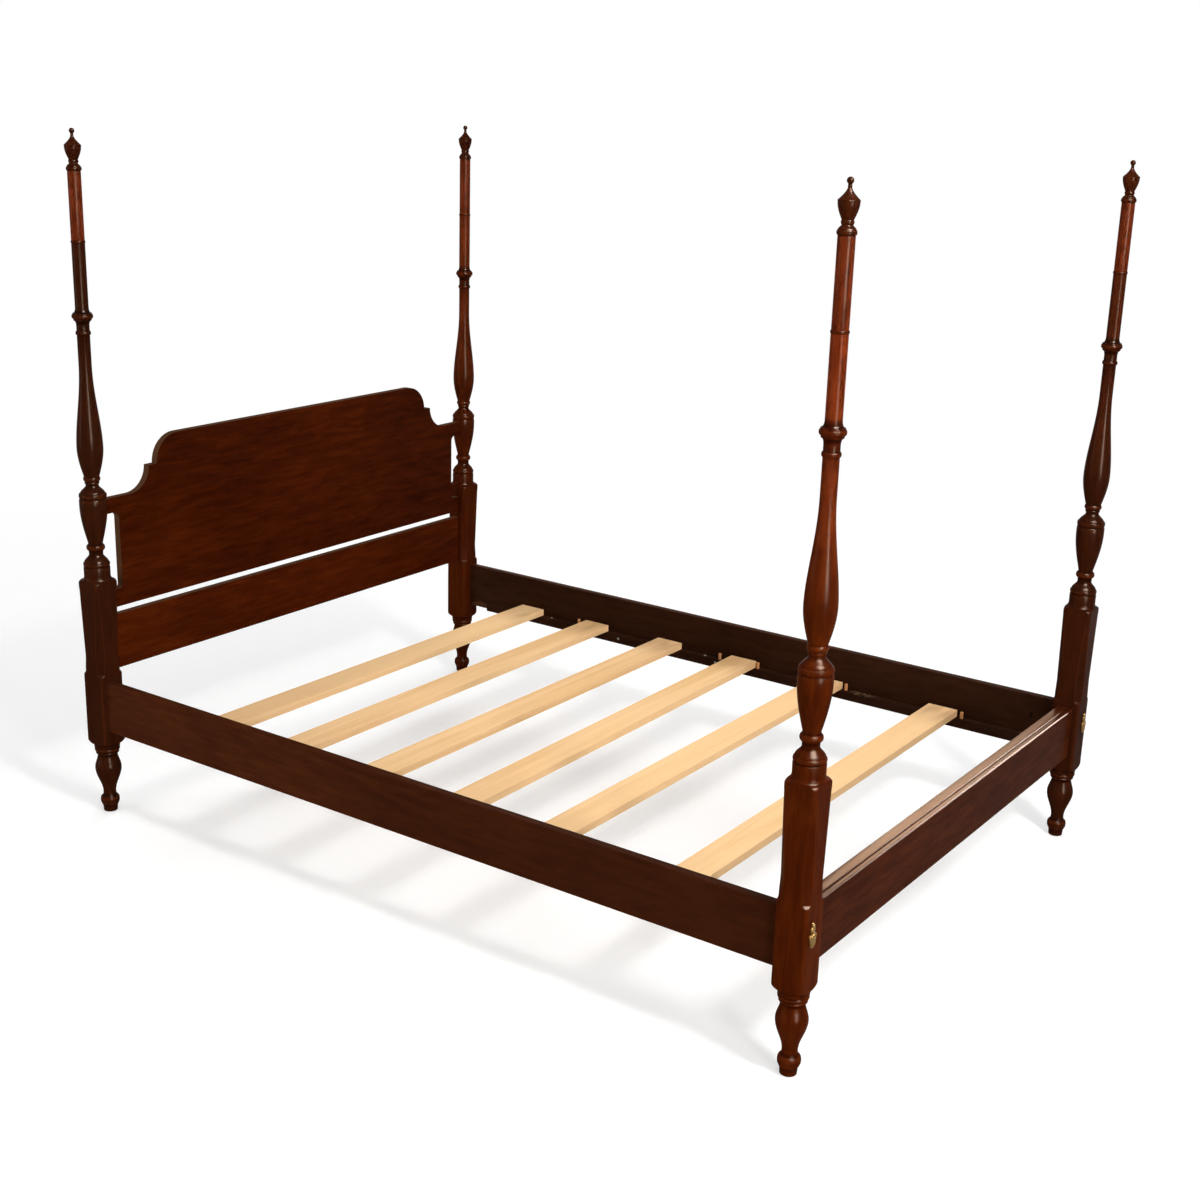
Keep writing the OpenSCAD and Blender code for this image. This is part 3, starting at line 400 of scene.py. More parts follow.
class Mahogany(Finish):
    """A polished mahogany. It starts as plain dark red-brown wood; each method lays one more
    thing over it, and polished() gives the finished material."""

    def __init__(self, name, along, shift, tone=0.0):
        super().__init__(name, along, shift)
        figure = self.streaked(0.17, 58.0, 4.0, 0.58, 0.5)
        self.ribbon = self.streaked(0.06, 150.0, 3.0, 0.6, 0.3)
        self.fibre = self.streaked(0.02, 620.0, 2.0, 0.6)
        self.blotch = self.streaked(0.5, 5.0, 2.0)
        self.streaks = (0.42 * figure + 0.18 * self.ribbon + 0.12 * self.fibre
                        + 0.28 * self.blotch + tone)
        self.worn = 0.0
        self.ramp(self.streaks, (0.33, self.colours.mahogany_dark),
                  (0.50, self.colours.mahogany_mid), (0.70, self.colours.mahogany_light))

    def by_streaks(self, start, end, under, over):
        """Two colours that take turns with the streaks."""
        return self.bench.blend(self.bench.between(self.streaks, start, end), under, over)

    def post(self, redder, duller):
        """Shares of redder wood in a post's shaft and of dull brown all over, with the dark
        collar and ring of its upper end, painted shade in its hollows, where polish also
        gathers, and rubbed crests."""
        between, colours, height = self.bench.between, self.colours, self.axis("z")
        upper = between(height, *SHAFT_REDDENS)
        mottle = between(self.streaked(0.4, 75.0, 3.0, 0.6), 0.34, 0.54, 0.35, 1.0)
        self.lay(redder * upper * mottle,
                 self.by_streaks(0.40, 0.64, colours.column_mid, colours.column_light))
        collar = between(height, *COLLAR_STARTS) * between(height, *COLLAR_ENDS)
        self.lay(0.75 * collar, colours.mahogany_dark)
        self.lay(0.8 * between(height, *RING_STARTS), colours.mahogany_dark)
        self.lay(between(self.blotch, 0.1, 0.6, 0.7 * duller, duller), colours.dull)
        # Painted shade: the turning's hollows are darkened where shade falls, and polish gathers
        # there too
        hollow = between(self.bench.crest(), -0.05, -0.7)
        self.lay(0.60 * hollow, dimmed(colours.mahogany_dark, 0.35))
        ridge = between(self.bench.crest(), 0.12, 0.9)
        self.lay(0.45 * ridge, colours.mahogany_light)

    def browned(self, part):
        """A browner finish by a share."""
        brown = self.colours.brown
        self.lay(part, self.by_streaks(0.34, 0.66, dimmed(brown, 0.68), dimmed(brown, 1.22)))

    def painted_foot_shade_and_thin_finish(self, inside):
        """The thin brown finish inside the bed, over painted shade that darkens the piece towards
        the foot.
        """
        # Painted shade: the brown darkens towards the foot, where less light falls
        self.lay(self.bench.between(self.axis("y"), 0.6, -0.7, 0.0, 0.5),
                 dimmed(self.colours.brown, 0.35))
        self.lay(0.92 * inside, self.by_streaks(0.36, 0.62, self.colours.inside_dark,
                                                self.colours.inside_light))

    def rail_inside(self, side):
        """The thin finish on the inner face of a side rail, over painted shade towards the foot."""
        face_x = -low("side_rail_right").x
        across = -SIDES[side] * self.axis("x")
        self.painted_foot_shade_and_thin_finish(self.bench.between(across, face_x - 0.006, face_x - 0.001))

    def painted_sheen_on_narrow_faces(self, node):
        """A lighter brown on the narrow faces of a board across the bed, painted as their
        reflection.
        """
        half = 0.5 * (high(node).y - low(node).y)
        off = self.bench.sum("ABSOLUTE", self.axis("y") - middle(node).y, 0.0)
        rim = self.bench.between(off, half - 0.0004, half - 0.0016)
        # Painted reflection: the narrow faces are lightened as if they caught light at a grazing
        # angle
        self.lay(0.7 * rim, NARROW_FACE_PAINTED_SHEEN)
        self.worn = 0.45 * rim

    def rubbed_patch(self):
        """The half-round patch that wear has left on the right rail."""
        self.lay(0.5 * self.patch(*RUBBED_PATCH), RUBBED_BROWN)

    def scratches(self):
        """The pale scratches of the right ledger, painted as a glint on them, and its scuffs."""
        # Painted glint: pale streaks in a patch on the ledger's top stand for light glinting on its
        # scratches
        scratch = self.streaked(0.25, 420.0, 3.0, 0.7)
        bare = self.patch(*SCRATCH_GLINT_PATCH, 0.6)
        self.lay(bare * self.bench.between(scratch, 0.54, 0.60), SCRATCH_PAINTED_GLINT)
        scuffs = self.streaked(0.2, 90.0, 4.0, 0.7)
        self.lay(0.5 * self.bench.between(scuffs, 0.60, 0.70), SCUFF_BROWN)

    def polished(self):
        """The material, with its open pores and its polish."""
        pores = self.bench.between(self.streaked(0.03, 1500.0, 1.0), 0.60, 0.72)
        self.lay(0.35 * pores, dimmed(self.colours.mahogany_dark, 0.3))
        haze = self.streaked(0.4, 14.0, 3.0)
        return self.surface(0.16 + 0.09 * haze + 0.03 * pores + 0.03 * self.fibre + self.worn,
                            0.5 * self.fibre - 0.2 * pores + 0.5 * self.ribbon, 0.00004,
                            {"Specular IOR Level": 0.006, "Specular Tint": POLISH_TINT})


def red_mahogany(name, shift):
    """Redder, lighter mahogany of the column tops."""
    timber = Finish(name, "z", shift)
    colours, between = timber.colours, timber.bench.between
    figure = timber.streaked(0.08, 40.0, 3.0, 0.55, 0.4)
    ribbon = timber.streaked(0.03, 260.0, 3.0, 0.6)
    timber.ramp(0.55 * figure + 0.45 * ribbon, (0.27, colours.mahogany_light),
                (0.38, colours.column_mid), (0.56, colours.column_light))
    mottle = timber.streaked(0.4, 75.0, 3.0, 0.6)
    timber.lay(between(mottle, 0.52, 0.36, 0.0, 0.55), colours.mahogany_mid)
    timber.lay(0.6 * between(timber.bench.crest(), 0.1, 0.8), colours.mahogany_dark)
    pores = between(timber.streaked(0.03, 1500.0, 1.0), 0.6, 0.72)
    timber.lay(0.5 * pores, colours.mahogany_mid)
    top = high("top_column_foot_left").z
    end_grain = between(timber.axis("z"), top - 0.0012, top - 0.0002)
    timber.lay(0.7 * end_grain, colours.mahogany_dark)
    return timber.surface(0.20 + 0.08 * ribbon + 0.05 * pores + 0.55 * end_grain,
                          0.6 * ribbon - 1.0 * pores, 0.00006,
                          {"Specular IOR Level": 0.008, "Specular Tint": POLISH_TINT})


def pale_wood(name, shift, tone):
    """Bare sawn softwood of the slats, browner at their right ends."""
    timber = Finish(name, "x", shift)
    colours, between = timber.colours, timber.bench.between
    rings = timber.streaked(0.05, 26.0, 3.0, 0.5, 1.2)
    lines = timber.streaked(0.012, 210.0, 3.0, 0.6)
    fibre = timber.streaked(0.02, 900.0, 2.0, 0.6)
    board = timber.streaked(0.35, 3.0, 1.0)
    timber.ramp(0.42 * rings + 0.20 * lines + 0.14 * fibre + 0.24 * board + tone,
                (0.34, colours.slat_dark), (0.50, colours.slat_light),
                (0.68, [min(0.96, 1.10 * c) for c in colours.slat_light]))
    knots = timber.bench.node("TexVoronoi", None, {"Vector": timber.drawn(0.5), "Scale": 3.1})
    timber.lay(0.65 * between(knots, 0.045, 0.012), KNOT_BROWN)
    right_ends = between(timber.axis("x"), 0.52, 0.69)
    end_blotches = between(timber.streaked(0.3, 22.0, 3.0), 0.35, 0.7, 0.10, 0.55)
    timber.lay(right_ends * end_blotches, RIGHT_END_BROWN)
    return timber.surface(0.58 + 0.14 * lines, 0.7 * fibre + 0.5 * lines, 0.00008,
                          {"Specular IOR Level": 0.004})


def peg_wood(name):
    """Orange-brown dowel wood."""
    timber = Finish(name)
    lines = timber.streaked(0.08, 900.0, 3.0, 0.6)
    timber.mix(lines, dimmed(timber.colours.peg, 0.7), timber.colours.peg)
    return timber.surface(0.55 + 0.1 * lines, lines, 0.0001, {"Specular IOR Level": 0.004})


def brass(name):
    """Old lacquered brass, darker in its hollows."""
    metal = Finish(name)
    bench, colours = metal.bench, metal.colours
    patina = bench.noise(metal.place, 260.0, 4.0, 0.6)
    scratches = metal.streaked(0.1, 2600.0, 1.0)
    dull = bench.between(bench.crest(), 0.15, -0.6)
    mask = 0.85 * dull + 0.35 * bench.between(patina, 0.55, 0.75)
    metal.mix(mask, colours.brass, colours.brass_tarnish)
    return metal.surface(0.14 + 0.20 * patina + 0.20 * mask, patina + 0.4 * scratches, 0.00006,
                         {"Metallic": 1.0})


def steel(name):
    """Plain steel with a dull film."""
    metal = Finish(name)
    bare = metal.colours.steel
    film = metal.bench.noise(metal.place, 320.0, 3.0, 0.6)
    metal.mix(metal.bench.between(film, 0.42, 0.7), bare, dimmed(bare, 0.45))
    return metal.surface(0.34 + 0.25 * film, film, 0.00005, {"Metallic": 0.9})


def blackened(name):
    """Blackened iron with a little brown rust."""
    metal = Finish(name)
    rust = metal.bench.noise(metal.place, 240.0, 3.0, 0.6)
    metal.mix(metal.bench.between(rust, 0.5, 0.7), IRON_BLACK, RUST_BROWN)
    return metal.surface(0.7 + 0.2 * rust, rust, 0.00008, {"Specular IOR Level": 0.02})


# Making pieces

def linked(name, mesh):
    """An object for a mesh, at the origin."""
    piece = bpy.data.objects.new(name, mesh)
    bpy.context.scene.collection.objects.link(piece)
    return piece


def dress(shape, name, body, nodes, material, sharp=34.0):
    """Makes a bmesh a finished piece that rides on a body and stands for CAD nodes."""
    mesh = bpy.data.meshes.new(name)
    shape.to_mesh(mesh)
    shape.free()
    piece = linked(name, mesh)
    mesh.materials.clear()
    mesh.materials.append(material)
    smooth(mesh, sharp)
    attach(piece, body)
    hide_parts(*nodes)
    return piece


def smooth(mesh, sharp):
    """Smooth shading that stops at edges sharper than an angle in degrees."""
    mesh.shade_smooth()
    mesh.set_sharp_from_angle(angle=math.radians(sharp))


def ease_edges(piece, width, segments=3):
    """Rounds a flat piece's edges and keeps its flats flat."""
    easing = piece.modifiers.new("eased edges", "BEVEL")
    easing.width = width
    easing.segments = segments
    easing.limit_method = "ANGLE"
    easing.angle_limit = math.radians(32)
    easing.harden_normals = True


def box_shape(corner, opposite):
    """A box between two opposite corners, in metres."""
    shape = bmesh.new()
    lowest, highest = Vector(map(min, corner, opposite)), Vector(map(max, corner, opposite))
    extent, centre = highest - lowest, (highest + lowest) / 2
    bmesh.ops.create_cube(shape, size=1.0,
                          matrix=Matrix.Translation(centre) @ Matrix.Diagonal((*extent, 1.0)))
    return shape


def drawn_out(rim, reach):
    """A flat outline drawn out along a vector, in metres."""
    shape = bmesh.new()
    shape.faces.new([shape.verts.new(point) for point in rim])
    bmesh.ops.remove_doubles(shape, verts=shape.verts, dist=1e-5)
    grown = bmesh.ops.extrude_face_region(shape, geom=shape.faces[:])
    moved = [item for item in grown["geom"] if isinstance(item, bmesh.types.BMVert)]
    bmesh.ops.translate(shape, vec=reach, verts=moved)
    bmesh.ops.recalc_face_normals(shape, faces=shape.faces)
    return shape


def turned_shape(outline, steps, place=Matrix.Identity(4), layer=None):
    """Spins an outline of radius and height, in millimetres, round the Z axis."""
    shape = bmesh.new()
    values = shape.verts.layers.float.new("crest")
    chain = [shape.verts.new((radius * MM, 0.0, height * MM)) for radius, height in outline]
    for point, value in zip(chain, layer or ()):
        point[values] = value
    edges = [shape.edges.new(pair) for pair in zip(chain, chain[1:])]
    bmesh.ops.spin(shape, geom=chain + edges, cent=(0, 0, 0), axis=(0, 0, 1),
                   angle=2 * math.pi, steps=steps, use_merge=True)
    bmesh.ops.remove_doubles(shape, verts=shape.verts, dist=1e-6)
    bmesh.ops.recalc_face_normals(shape, faces=shape.faces)
    bmesh.ops.transform(shape, matrix=place, verts=shape.verts)
    return shape


def cut(piece, tools, operation="DIFFERENCE"):
    """Cuts shapes out of a piece, or joins them to it."""
    for number, tool in enumerate(tools):
        mesh = bpy.data.meshes.new("tool")
        tool.to_mesh(mesh)
        tool.free()
        helper = linked(f"tool_{number}", mesh)
        step = piece.modifiers.new("cut", "BOOLEAN")
        step.operation = operation
        step.solver = "EXACT"
        step.object = helper
        made = bpy.data.meshes.new_from_object(
            piece.evaluated_get(bpy.context.evaluated_depsgraph_get()))
        spent = piece.data
        piece.modifiers.clear()
        piece.data = made
        made.name = spent.name
        bpy.data.objects.remove(helper)
        bpy.data.meshes.remove(mesh)
        bpy.data.meshes.remove(spent)


def joined(tools):
    """Several tool shapes made one solid, so that a large piece is cut only once."""
    mesh = bpy.data.meshes.new("joined")
    tools[0].to_mesh(mesh)
    tools[0].free()
    block = linked("joined", mesh)
    cut(block, tools[1:], "UNION")
    whole = bmesh.new()
    whole.from_mesh(block.data)
    spent = block.data
    bpy.data.objects.remove(block)
    bpy.data.meshes.remove(spent)
    return whole


def copied_shape(node):
    """A CAD node's shape with its loose triangles merged into flat faces."""
    shape = bmesh.new()
    shape.from_mesh(frame["nodes"][node].data)
    bmesh.ops.remove_doubles(shape, verts=shape.verts, dist=2e-6)
    bmesh.ops.dissolve_limit(shape, angle_limit=math.radians(0.4), verts=shape.verts,
                             edges=shape.edges)
    return shape


# Turnings. Heights and diameters are in millimetres.

# Each curve gives how far across and how far up its stretch a point is, both from 0 to 1.
CURVES = {
    "ogee": lambda t: ((1 - math.cos(math.pi * t)) / 2, t),
    "swell": lambda t: (math.sin(math.pi / 2 * t), t),
    "taper": lambda t: ((1 - math.cos(math.pi * t ** 0.9)) / 2, t),
    "hollow": lambda t: (1 - math.cos(math.pi / 2 * t), math.sin(math.pi / 2 * t)),
    "round": lambda t: (math.sin(math.pi / 2 * t), 1 - math.cos(math.pi / 2 * t)),
    "bead": lambda t: (math.sin(math.pi * t), (1 - math.cos(math.pi * t)) / 2),
    "roof": lambda t: (t ** 1.45, t),
    "line": lambda t: (t, t),
}

# The square block's foot and top, its width, a diameter well beyond its corners, and the
# heights where its shoulders start
BLOCK_FOOT, BLOCK_TOP = 188.25, 632.25
BLOCK_WIDTH, BLOCK_REACH = 70.0, 100.0
LOWER_SHOULDER, UPPER_SHOULDER = 212.25, 598.25
# Where the lamb's tongue starts, how far its lip stands out, and how far the run-out passes
# the upper shoulder's foot
TONGUE_FOOT, TONGUE_LIP, RUNOUT_OVER = 373.0, 2.2, 7.0
# How far the rubbed finish reaches from the block's edges
WORN_EDGE = 1.6

# A row is a curve, the diameter and height where it starts, and those where it ends.
POST_ROWS = (
    ("line", 0, 0, 32, 0), ("line", 32, 0, 35, 1.5), ("line", 35, 1.5, 37, 17),
    ("line", 40.5, 18, 41.5, 20), ("bead", 40.5, 21, 47.5, 41), ("hollow", 32, 53, 40.5, 41),
    ("ogee", 32, 53, 65.5, 120), ("ogee", 65.5, 120, 49, 158), ("bead", 51, 159.25, 58, 166),
    ("bead", 56, 167.25, 63, 176), ("line", 59, 177.25, 64, 178.5),
    ("round", 64, BLOCK_FOOT, BLOCK_REACH, LOWER_SHOULDER),
    ("round", 74.8, 620.92, BLOCK_REACH, UPPER_SHOULDER), ("hollow", 64, BLOCK_TOP, 74.8, 620.92),
    ("line", 64, 653.25, 59, 654.25), ("line", 59, 656.75, 61, 656.75),
    ("bead", 61, 656.75, 64.5, 665.25), ("ogee", 59, 666.25, 34, 686.25),
    ("bead", 35, 695.75, 45, 710.75), ("line", 35.4, 711.25, 36, 716.25),
    ("swell", 36, 716.25, 66.8, 812.25), ("line", 66.4, 823.75, 64.8, 826.25),
    ("line", 61.8, 826.25, 61.8, 828.75), ("bead", 63.8, 828.75, 66.8, 839.75),
    ("ogee", 59, 840.75, 31, 860.75), ("line", 31, 863.75, 35, 864.25),
    ("line", 35, 867.75, 33.4, 869.25), ("bead", 34, 870.25, 41, 882.25),
    ("swell", 37, 882.25, 63, 954.25), ("taper", 63, 954.25, 30.6, 1156.25),
    ("bead", 30.6, 1226.25, 36, 1236.25), ("hollow", 30.6, 1248.25, 40, 1260.25),
    ("line", 42, 1261.25, 42.8, 1264.45), ("bead", 44, 1265.25, 50, 1276.25),
    ("line", 45.2, 1276.75, 44.8, 1278.25), ("hollow", 31.6, 1291.25, 43, 1278.75),
    ("bead", 31.6, 1441.25, 33.8, 1447.25), ("line", 31.6, 1447.25, 16.16, 1447.25),
    ("line", 16.16, 1410.25, 0, 1410.25),
)
# Heights between which the block's straight part is cut finely, and how finely
FINE_ZONES = ((372.0, 384.0, 0.5), (384.0, 430.0, 2.0), (430.0, 586.0, 26.0), (586.0, 598.0, 1.0))

COLUMN_FOOT, COLUMN_TOP = 1447.25, 1606.25
# How far the darker rims of a column top reach
RIM_REACH = 2.5
COLUMN_ROWS = (
    ("line", 0, 1411.25, 15, 1411.25), ("line", 16, 1412.25, 16, 1447.25),
    ("line", 30.2, 1447.25, 31.2, 1447.75), ("line", 31.2, 1447.75, 31.2, 1605.75),
    ("line", 30.2, 1606.25, 9.66, 1606.25), ("line", 9.66, 1577.25, 0, 1577.25),
)
FINIAL_SEAT = 1606.55
FINIAL_ROWS = (
    ("line", 0, -28, 8.5, -28), ("line", 9.5, -27, 9.5, 0), ("line", 9.5, 0, 31.2, 0),
    ("bead", 33.6, 0.5, 35.6, 8), ("line", 32.6, 9, 31.6, 9.5), ("ogee", 31.6, 9.5, 20, 17.5),
    ("bead", 20.6, 17.5, 23, 25), ("swell", 21, 25, 38.4, 55), ("line", 39.4, 57, 38.4, 58),
    ("roof", 7.4, 78, 38.4, 58), ("line", 7.4, 78.5, 7.2, 84),
)
# The ball on its tip, and the angle in degrees at which it leaves the neck
TIP_DIAMETER, TIP_FOOT, TIP_START = 12.6, 83.1, -55


def stretch(curve, across_0, up_0, across_1, up_1):
    """Points of one stretch of a turning, as radius and height, always climbing."""
    rise = math.hypot((across_1 - across_0) / 2, up_1 - up_0)
    count = 1 if curve == "line" else max(10, min(44, round(rise / 1.5)))
    points = []
    for step in range(count + 1):
        across, up = CURVES[curve](step / count)
        points.append(((across_0 + (across_1 - across_0) * across) / 2, up_0 + (up_1 - up_0) * up))
    return points[::-1] if up_1 < up_0 else points


def arc(centre_x, centre_z, radius, start, end, count=20):
    """Points of an arc, its angles in degrees."""
    return [(centre_x + radius * math.cos(math.radians(start + (end - start) * i / count)),
             centre_z + radius * math.sin(math.radians(start + (end - start) * i / count)))
            for i in range(count + 1)]


def outline(rows):
    """The whole outline of a turning, with doubled points left out."""
    points = []
    for row in rows:
        for point in stretch(*row):
            if not points or math.dist(point, points[-1]) > 0.02:
                points.append(point)
    return points


def softened(points, reach=0.45, angle=18.0):
    """An outline with its sharp corners rounded, as sanding leaves them."""
    soft = [points[0]]
    for before, here, after in zip(points, points[1:], points[2:]):
        start, end = Vector(before) - Vector(here), Vector(after) - Vector(here)
        bend = math.degrees(math.pi - start.angle(end))
        if bend < angle or here[0] < 0.1:
            soft.append(here)
            continue
        back = Vector(here) + start.normalized() * min(reach, 0.45 * start.length)
        ahead = Vector(here) + end.normalized() * min(reach, 0.45 * end.length)
        soft += [tuple(back), tuple(back * 0.25 + Vector(here) * 0.5 + ahead * 0.25), tuple(ahead)]
    return soft + [points[-1]]


def crests(points, reach=7.0, full=3.0):
    """How far each outline point stands out of the mean round it, from -1 to 1."""
    values = []
    for radius, height in points:
        near = [r for r, h in points if abs(h - height) < reach and r > 4.0]
        mean = sum(near) / len(near) if near else radius
        values.append(max(-1.0, min(1.0, (radius - mean) / full)))
    return values


def refined(points, zones):
    """An outline with extra points where its straight part is cut finely."""
    result = [points[0]]
    for before, after in zip(points, points[1:]):
        if after[1] - before[1] > 100.0 and before[0] > 40.0:
            for start, end, pitch in zones:
                count = round((end - start) / pitch)
                result += [(before[0], start + (end - start) * i / count) for i in range(count)]
        result.append(after)
    return result


def soft_least(first, second, reach):
    """The smaller of two lengths, blended where they are nearly the same."""
    overlap = max(reach - abs(first - second), 0.0) / reach
    return min(first, second) - overlap * overlap * reach / 4


class Block:
    """Section of the square block, in millimetres from the post's axis."""

    def __init__(self, sizes):
        self.half = BLOCK_WIDTH / 2
        self.arris = sizes.arris / MM
        self.easing = sizes.easing / MM
        self.corner = self.half * math.sqrt(2)
        self.clear = self.corner - self.arris * (math.sqrt(2) - 1) + 0.2
        self.deep = self.corner - sizes.chamfer_low / MM
        self.shallow = self.corner - sizes.chamfer_high / MM
        self.nose = TONGUE_FOOT
        self.brow = self.nose + sizes.tongue_nose / MM
        self.hollow_top = self.brow + sizes.tongue_height / MM
        self.runout_top = UPPER_SHOULDER + RUNOUT_OVER
        self.runout_foot = self.runout_top - sizes.runout / MM

    def chamfer(self, height):
        """Distance of the corner chamfer from the axis."""
        lip = self.deep + TONGUE_LIP
        if height <= self.nose or height >= self.runout_top:
            return self.clear
        if height < self.brow:
            part = (height - self.nose) / (self.brow - self.nose)
            return self.clear + (lip - self.clear) * (1 - math.cos(math.pi * part)) / 2
        if height < self.hollow_top:
            part = (self.hollow_top - height) / (self.hollow_top - self.brow)
            return self.deep + (lip - self.deep) * (1 - math.cos(math.pi * part)) / 2
        if height < self.runout_foot:
            part = (height - self.hollow_top) / (self.runout_foot - self.hollow_top)
            return self.deep + (self.shallow - self.deep) * part
        part = (height - self.runout_foot) / (self.runout_top - self.runout_foot)
        return self.shallow + (self.clear - self.shallow) * part ** 2

    def edge_angle(self, height):
        """Angle from a face's middle to the edge between face and corner."""
        arris_edge = self.half - self.arris
        across = min(self.chamfer(height) * math.sqrt(2) - self.half, arris_edge)
        full = math.atan2(across, self.half)
        plain = math.radians(22.5)
        if height < LOWER_SHOULDER:
            part = max(0.0, (height - BLOCK_FOOT) / (LOWER_SHOULDER - BLOCK_FOOT))
        elif height > UPPER_SHOULDER:
            part = max(0.0, (BLOCK_TOP - height) / (BLOCK_TOP - UPPER_SHOULDER))
        else:
            part = 1.0
        return plain + (full - plain) * min(1.0, 2.0 * part)

    def square(self, angle):
        """Distance to the square with its eased corners, at an angle from a face's middle."""
        arris_edge = self.half - self.arris
        if angle < math.atan2(arris_edge, self.half):
            return self.half / math.cos(angle)
        inward = arris_edge * (math.cos(angle) + math.sin(angle))
        return inward + math.sqrt(self.arris ** 2 - 2 * arris_edge ** 2 + inward ** 2)

    def warped(self, share_of_octant, height):
        """Angle for a share of the way from a face's middle to the corner."""
        edge = self.edge_angle(height)
        if share_of_octant < 0.5:
            return edge * 2 * share_of_octant
        return edge + (math.pi / 4 - edge) * (2 * share_of_octant - 1)

    def shape_vertex(self, vertex, steps, values):
        """Moves a spun vertex to where the block's surface is."""
        radius, height = vertex.co.xy.length / MM, vertex.co.z / MM
        if not BLOCK_FOOT < height < BLOCK_TOP or radius < 20.0:
            return
        number = round(math.atan2(vertex.co.y, vertex.co.x) / (2 * math.pi / steps)) % steps
        quarter, rest = divmod(number, steps // 4)
        half_way = steps // 8
        mirrored = rest > half_way
        from_face = self.warped((steps // 4 - rest if mirrored else rest) / half_way, height)
        face = self.square(from_face)
        slope = self.chamfer(height) / math.cos(math.pi / 4 - from_face)
        reach = soft_least(soft_least(face, slope, self.easing), radius, self.easing)
        angle = quarter * math.pi / 2 + (math.pi / 2 - from_face if mirrored else from_face)
        vertex.co.x, vertex.co.y = reach * MM * math.cos(angle), reach * MM * math.sin(angle)
        edge = 1.0 - min(1.0, abs(face - slope) / WORN_EDGE)
        vertex[values] = 0.8 * edge * edge


def post_shape(sizes):
    """The whole turned post with its square block, standing on the origin."""
    points = softened(outline(POST_ROWS))
    points = refined(points, FINE_ZONES)
    shape = turned_shape(points, sizes.steps, layer=crests(points))
    block = Block(sizes)
    values = shape.verts.layers.float["crest"]
    for vertex in shape.verts:
        block.shape_vertex(vertex, sizes.steps, values)
    return shape


# Where the posts stand
POST_Y = middle("post_head_right").y
HALF_POST = BLOCK_WIDTH / 2 * MM
INNER_X = middle("post_head_right").x - HALF_POST
# Room round a tenon, at each side
JOINT_GAP = 0.3 * MM
# Depth, thickness, foot and top of the tenons in the posts' inner faces
FOOT_RAIL_TENON = (28 * MM, 18 * MM, 244 * MM, 347 * MM)
HEAD_RAIL_TENON = (28 * MM, 12 * MM, 392 * MM, 506 * MM)
PANEL_TENON = (28 * MM, 12 * MM, 539 * MM, 571 * MM)
ARM_TENON = (21.6 * MM, 20 * MM, 782.25 * MM, 820.25 * MM)
TENONS = {"foot": (FOOT_RAIL_TENON,), "head": (HEAD_RAIL_TENON, PANEL_TENON, ARM_TENON)}
# Half the thickness, the depth, the foot and the top of a side rail's stub mortise
STUB_HALF, STUB_DEPTH = 8.3 * MM, 10.3 * MM
STUB_FOOT, STUB_TOP = 243.7 * MM, 347.3 * MM
BOLT_HEIGHT, PIN_HEIGHT = 306 * MM, 336.18 * MM
# Bores as outlines of radius and height over the post's outer face, in millimetres
BOLT_BORE = ((0, -72), (5.05, -72), (5.05, -14), (10, -14), (10, 2), (0, 2))
PIN_BORE = ((0, -14), (1.58, -14), (1.58, 2), (0, 2))


def facing(end):
    """Turns +Z to face out of the bed at one end."""
    return Matrix.Rotation(math.radians(-90 * end), 4, "X")


def mortise(side, inner_x, y, tenon):
    """The mortise in a post's inner face for a tenon, the post standing in its place."""
    depth, thickness, foot, top = tenon
    return box_shape((side * (inner_x - 2 * MM), y - thickness / 2 - JOINT_GAP, foot - JOINT_GAP),
                     (side * (inner_x + depth + JOINT_GAP), y + thickness / 2 + JOINT_GAP,
                      top + JOINT_GAP))


class BED_OT_posts(bpy.types.Operator):
    """Turned posts with their square blocks, mortises and bolt recesses"""
    bl_idname = "bed.posts"
    bl_label = "Posts"

    # Number, tone, share of redder wood in the shaft and share of dull brown
    FINISH = {("foot", "left"): (0, 0.03, 0.66, 0.0), ("foot", "right"): (1, -0.07, 0.50, 0.60),
              ("head", "left"): (2, -0.03, 0.0, 0.70), ("head", "right"): (3, 0.03, 0.45, 0.20)}

    def execute(self, context):
        pattern = bpy.data.meshes.new("post pattern")
        shape = post_shape(context.scene.bed_posts)
        shape.to_mesh(pattern)
        shape.free()
        for end, side in CORNERS:
            post = f"post_{end}_{side}"
            centre = Vector((*middle(post).xy, 0.0))
            shape = bmesh.new()
            shape.from_mesh(pattern)
            bmesh.ops.translate(shape, vec=centre, verts=shape.verts)
            number, tone, redder, duller = self.FINISH[end, side]
            timber = Mahogany(f"mahogany, post {number}", "z", 1.9 * number, tone)
            timber.post(redder, duller)
            piece = dress(shape, f"turned_{post}", ROOT_BODY, [post],
                          timber.polished())
            cut(piece, [joined(self.tools(end, side, centre))])
            smooth(piece.data, 38.0)
        bpy.data.meshes.remove(pattern)
        return {"FINISHED"}

    def tools(self, end, side, centre):
        """Everything that is cut out of one post."""
        rail_x = middle(f"side_rail_{side}").x
        face_y = centre.y + ENDS[end] * HALF_POST
        back_y = centre.y - ENDS[end] * (HALF_POST + 1 * MM)
        stub_y = centre.y - ENDS[end] * (HALF_POST - STUB_DEPTH)
        inner_x = abs(centre.x) - HALF_POST
        recess, pin = (turned_shape(bore, steps, Matrix.Translation((rail_x, face_y, height))
                                    @ facing(ENDS[end]))
                       for bore, steps, height in ((BOLT_BORE, 48, BOLT_HEIGHT),
                                                   (PIN_BORE, 24, PIN_HEIGHT)))
        stub = box_shape((rail_x - STUB_HALF, back_y, STUB_FOOT),
                         (rail_x + STUB_HALF, stub_y, STUB_TOP))
        return [recess, stub, pin] + [mortise(SIDES[side], inner_x, centre.y, tenon)
                                      for tenon in TENONS[end]]


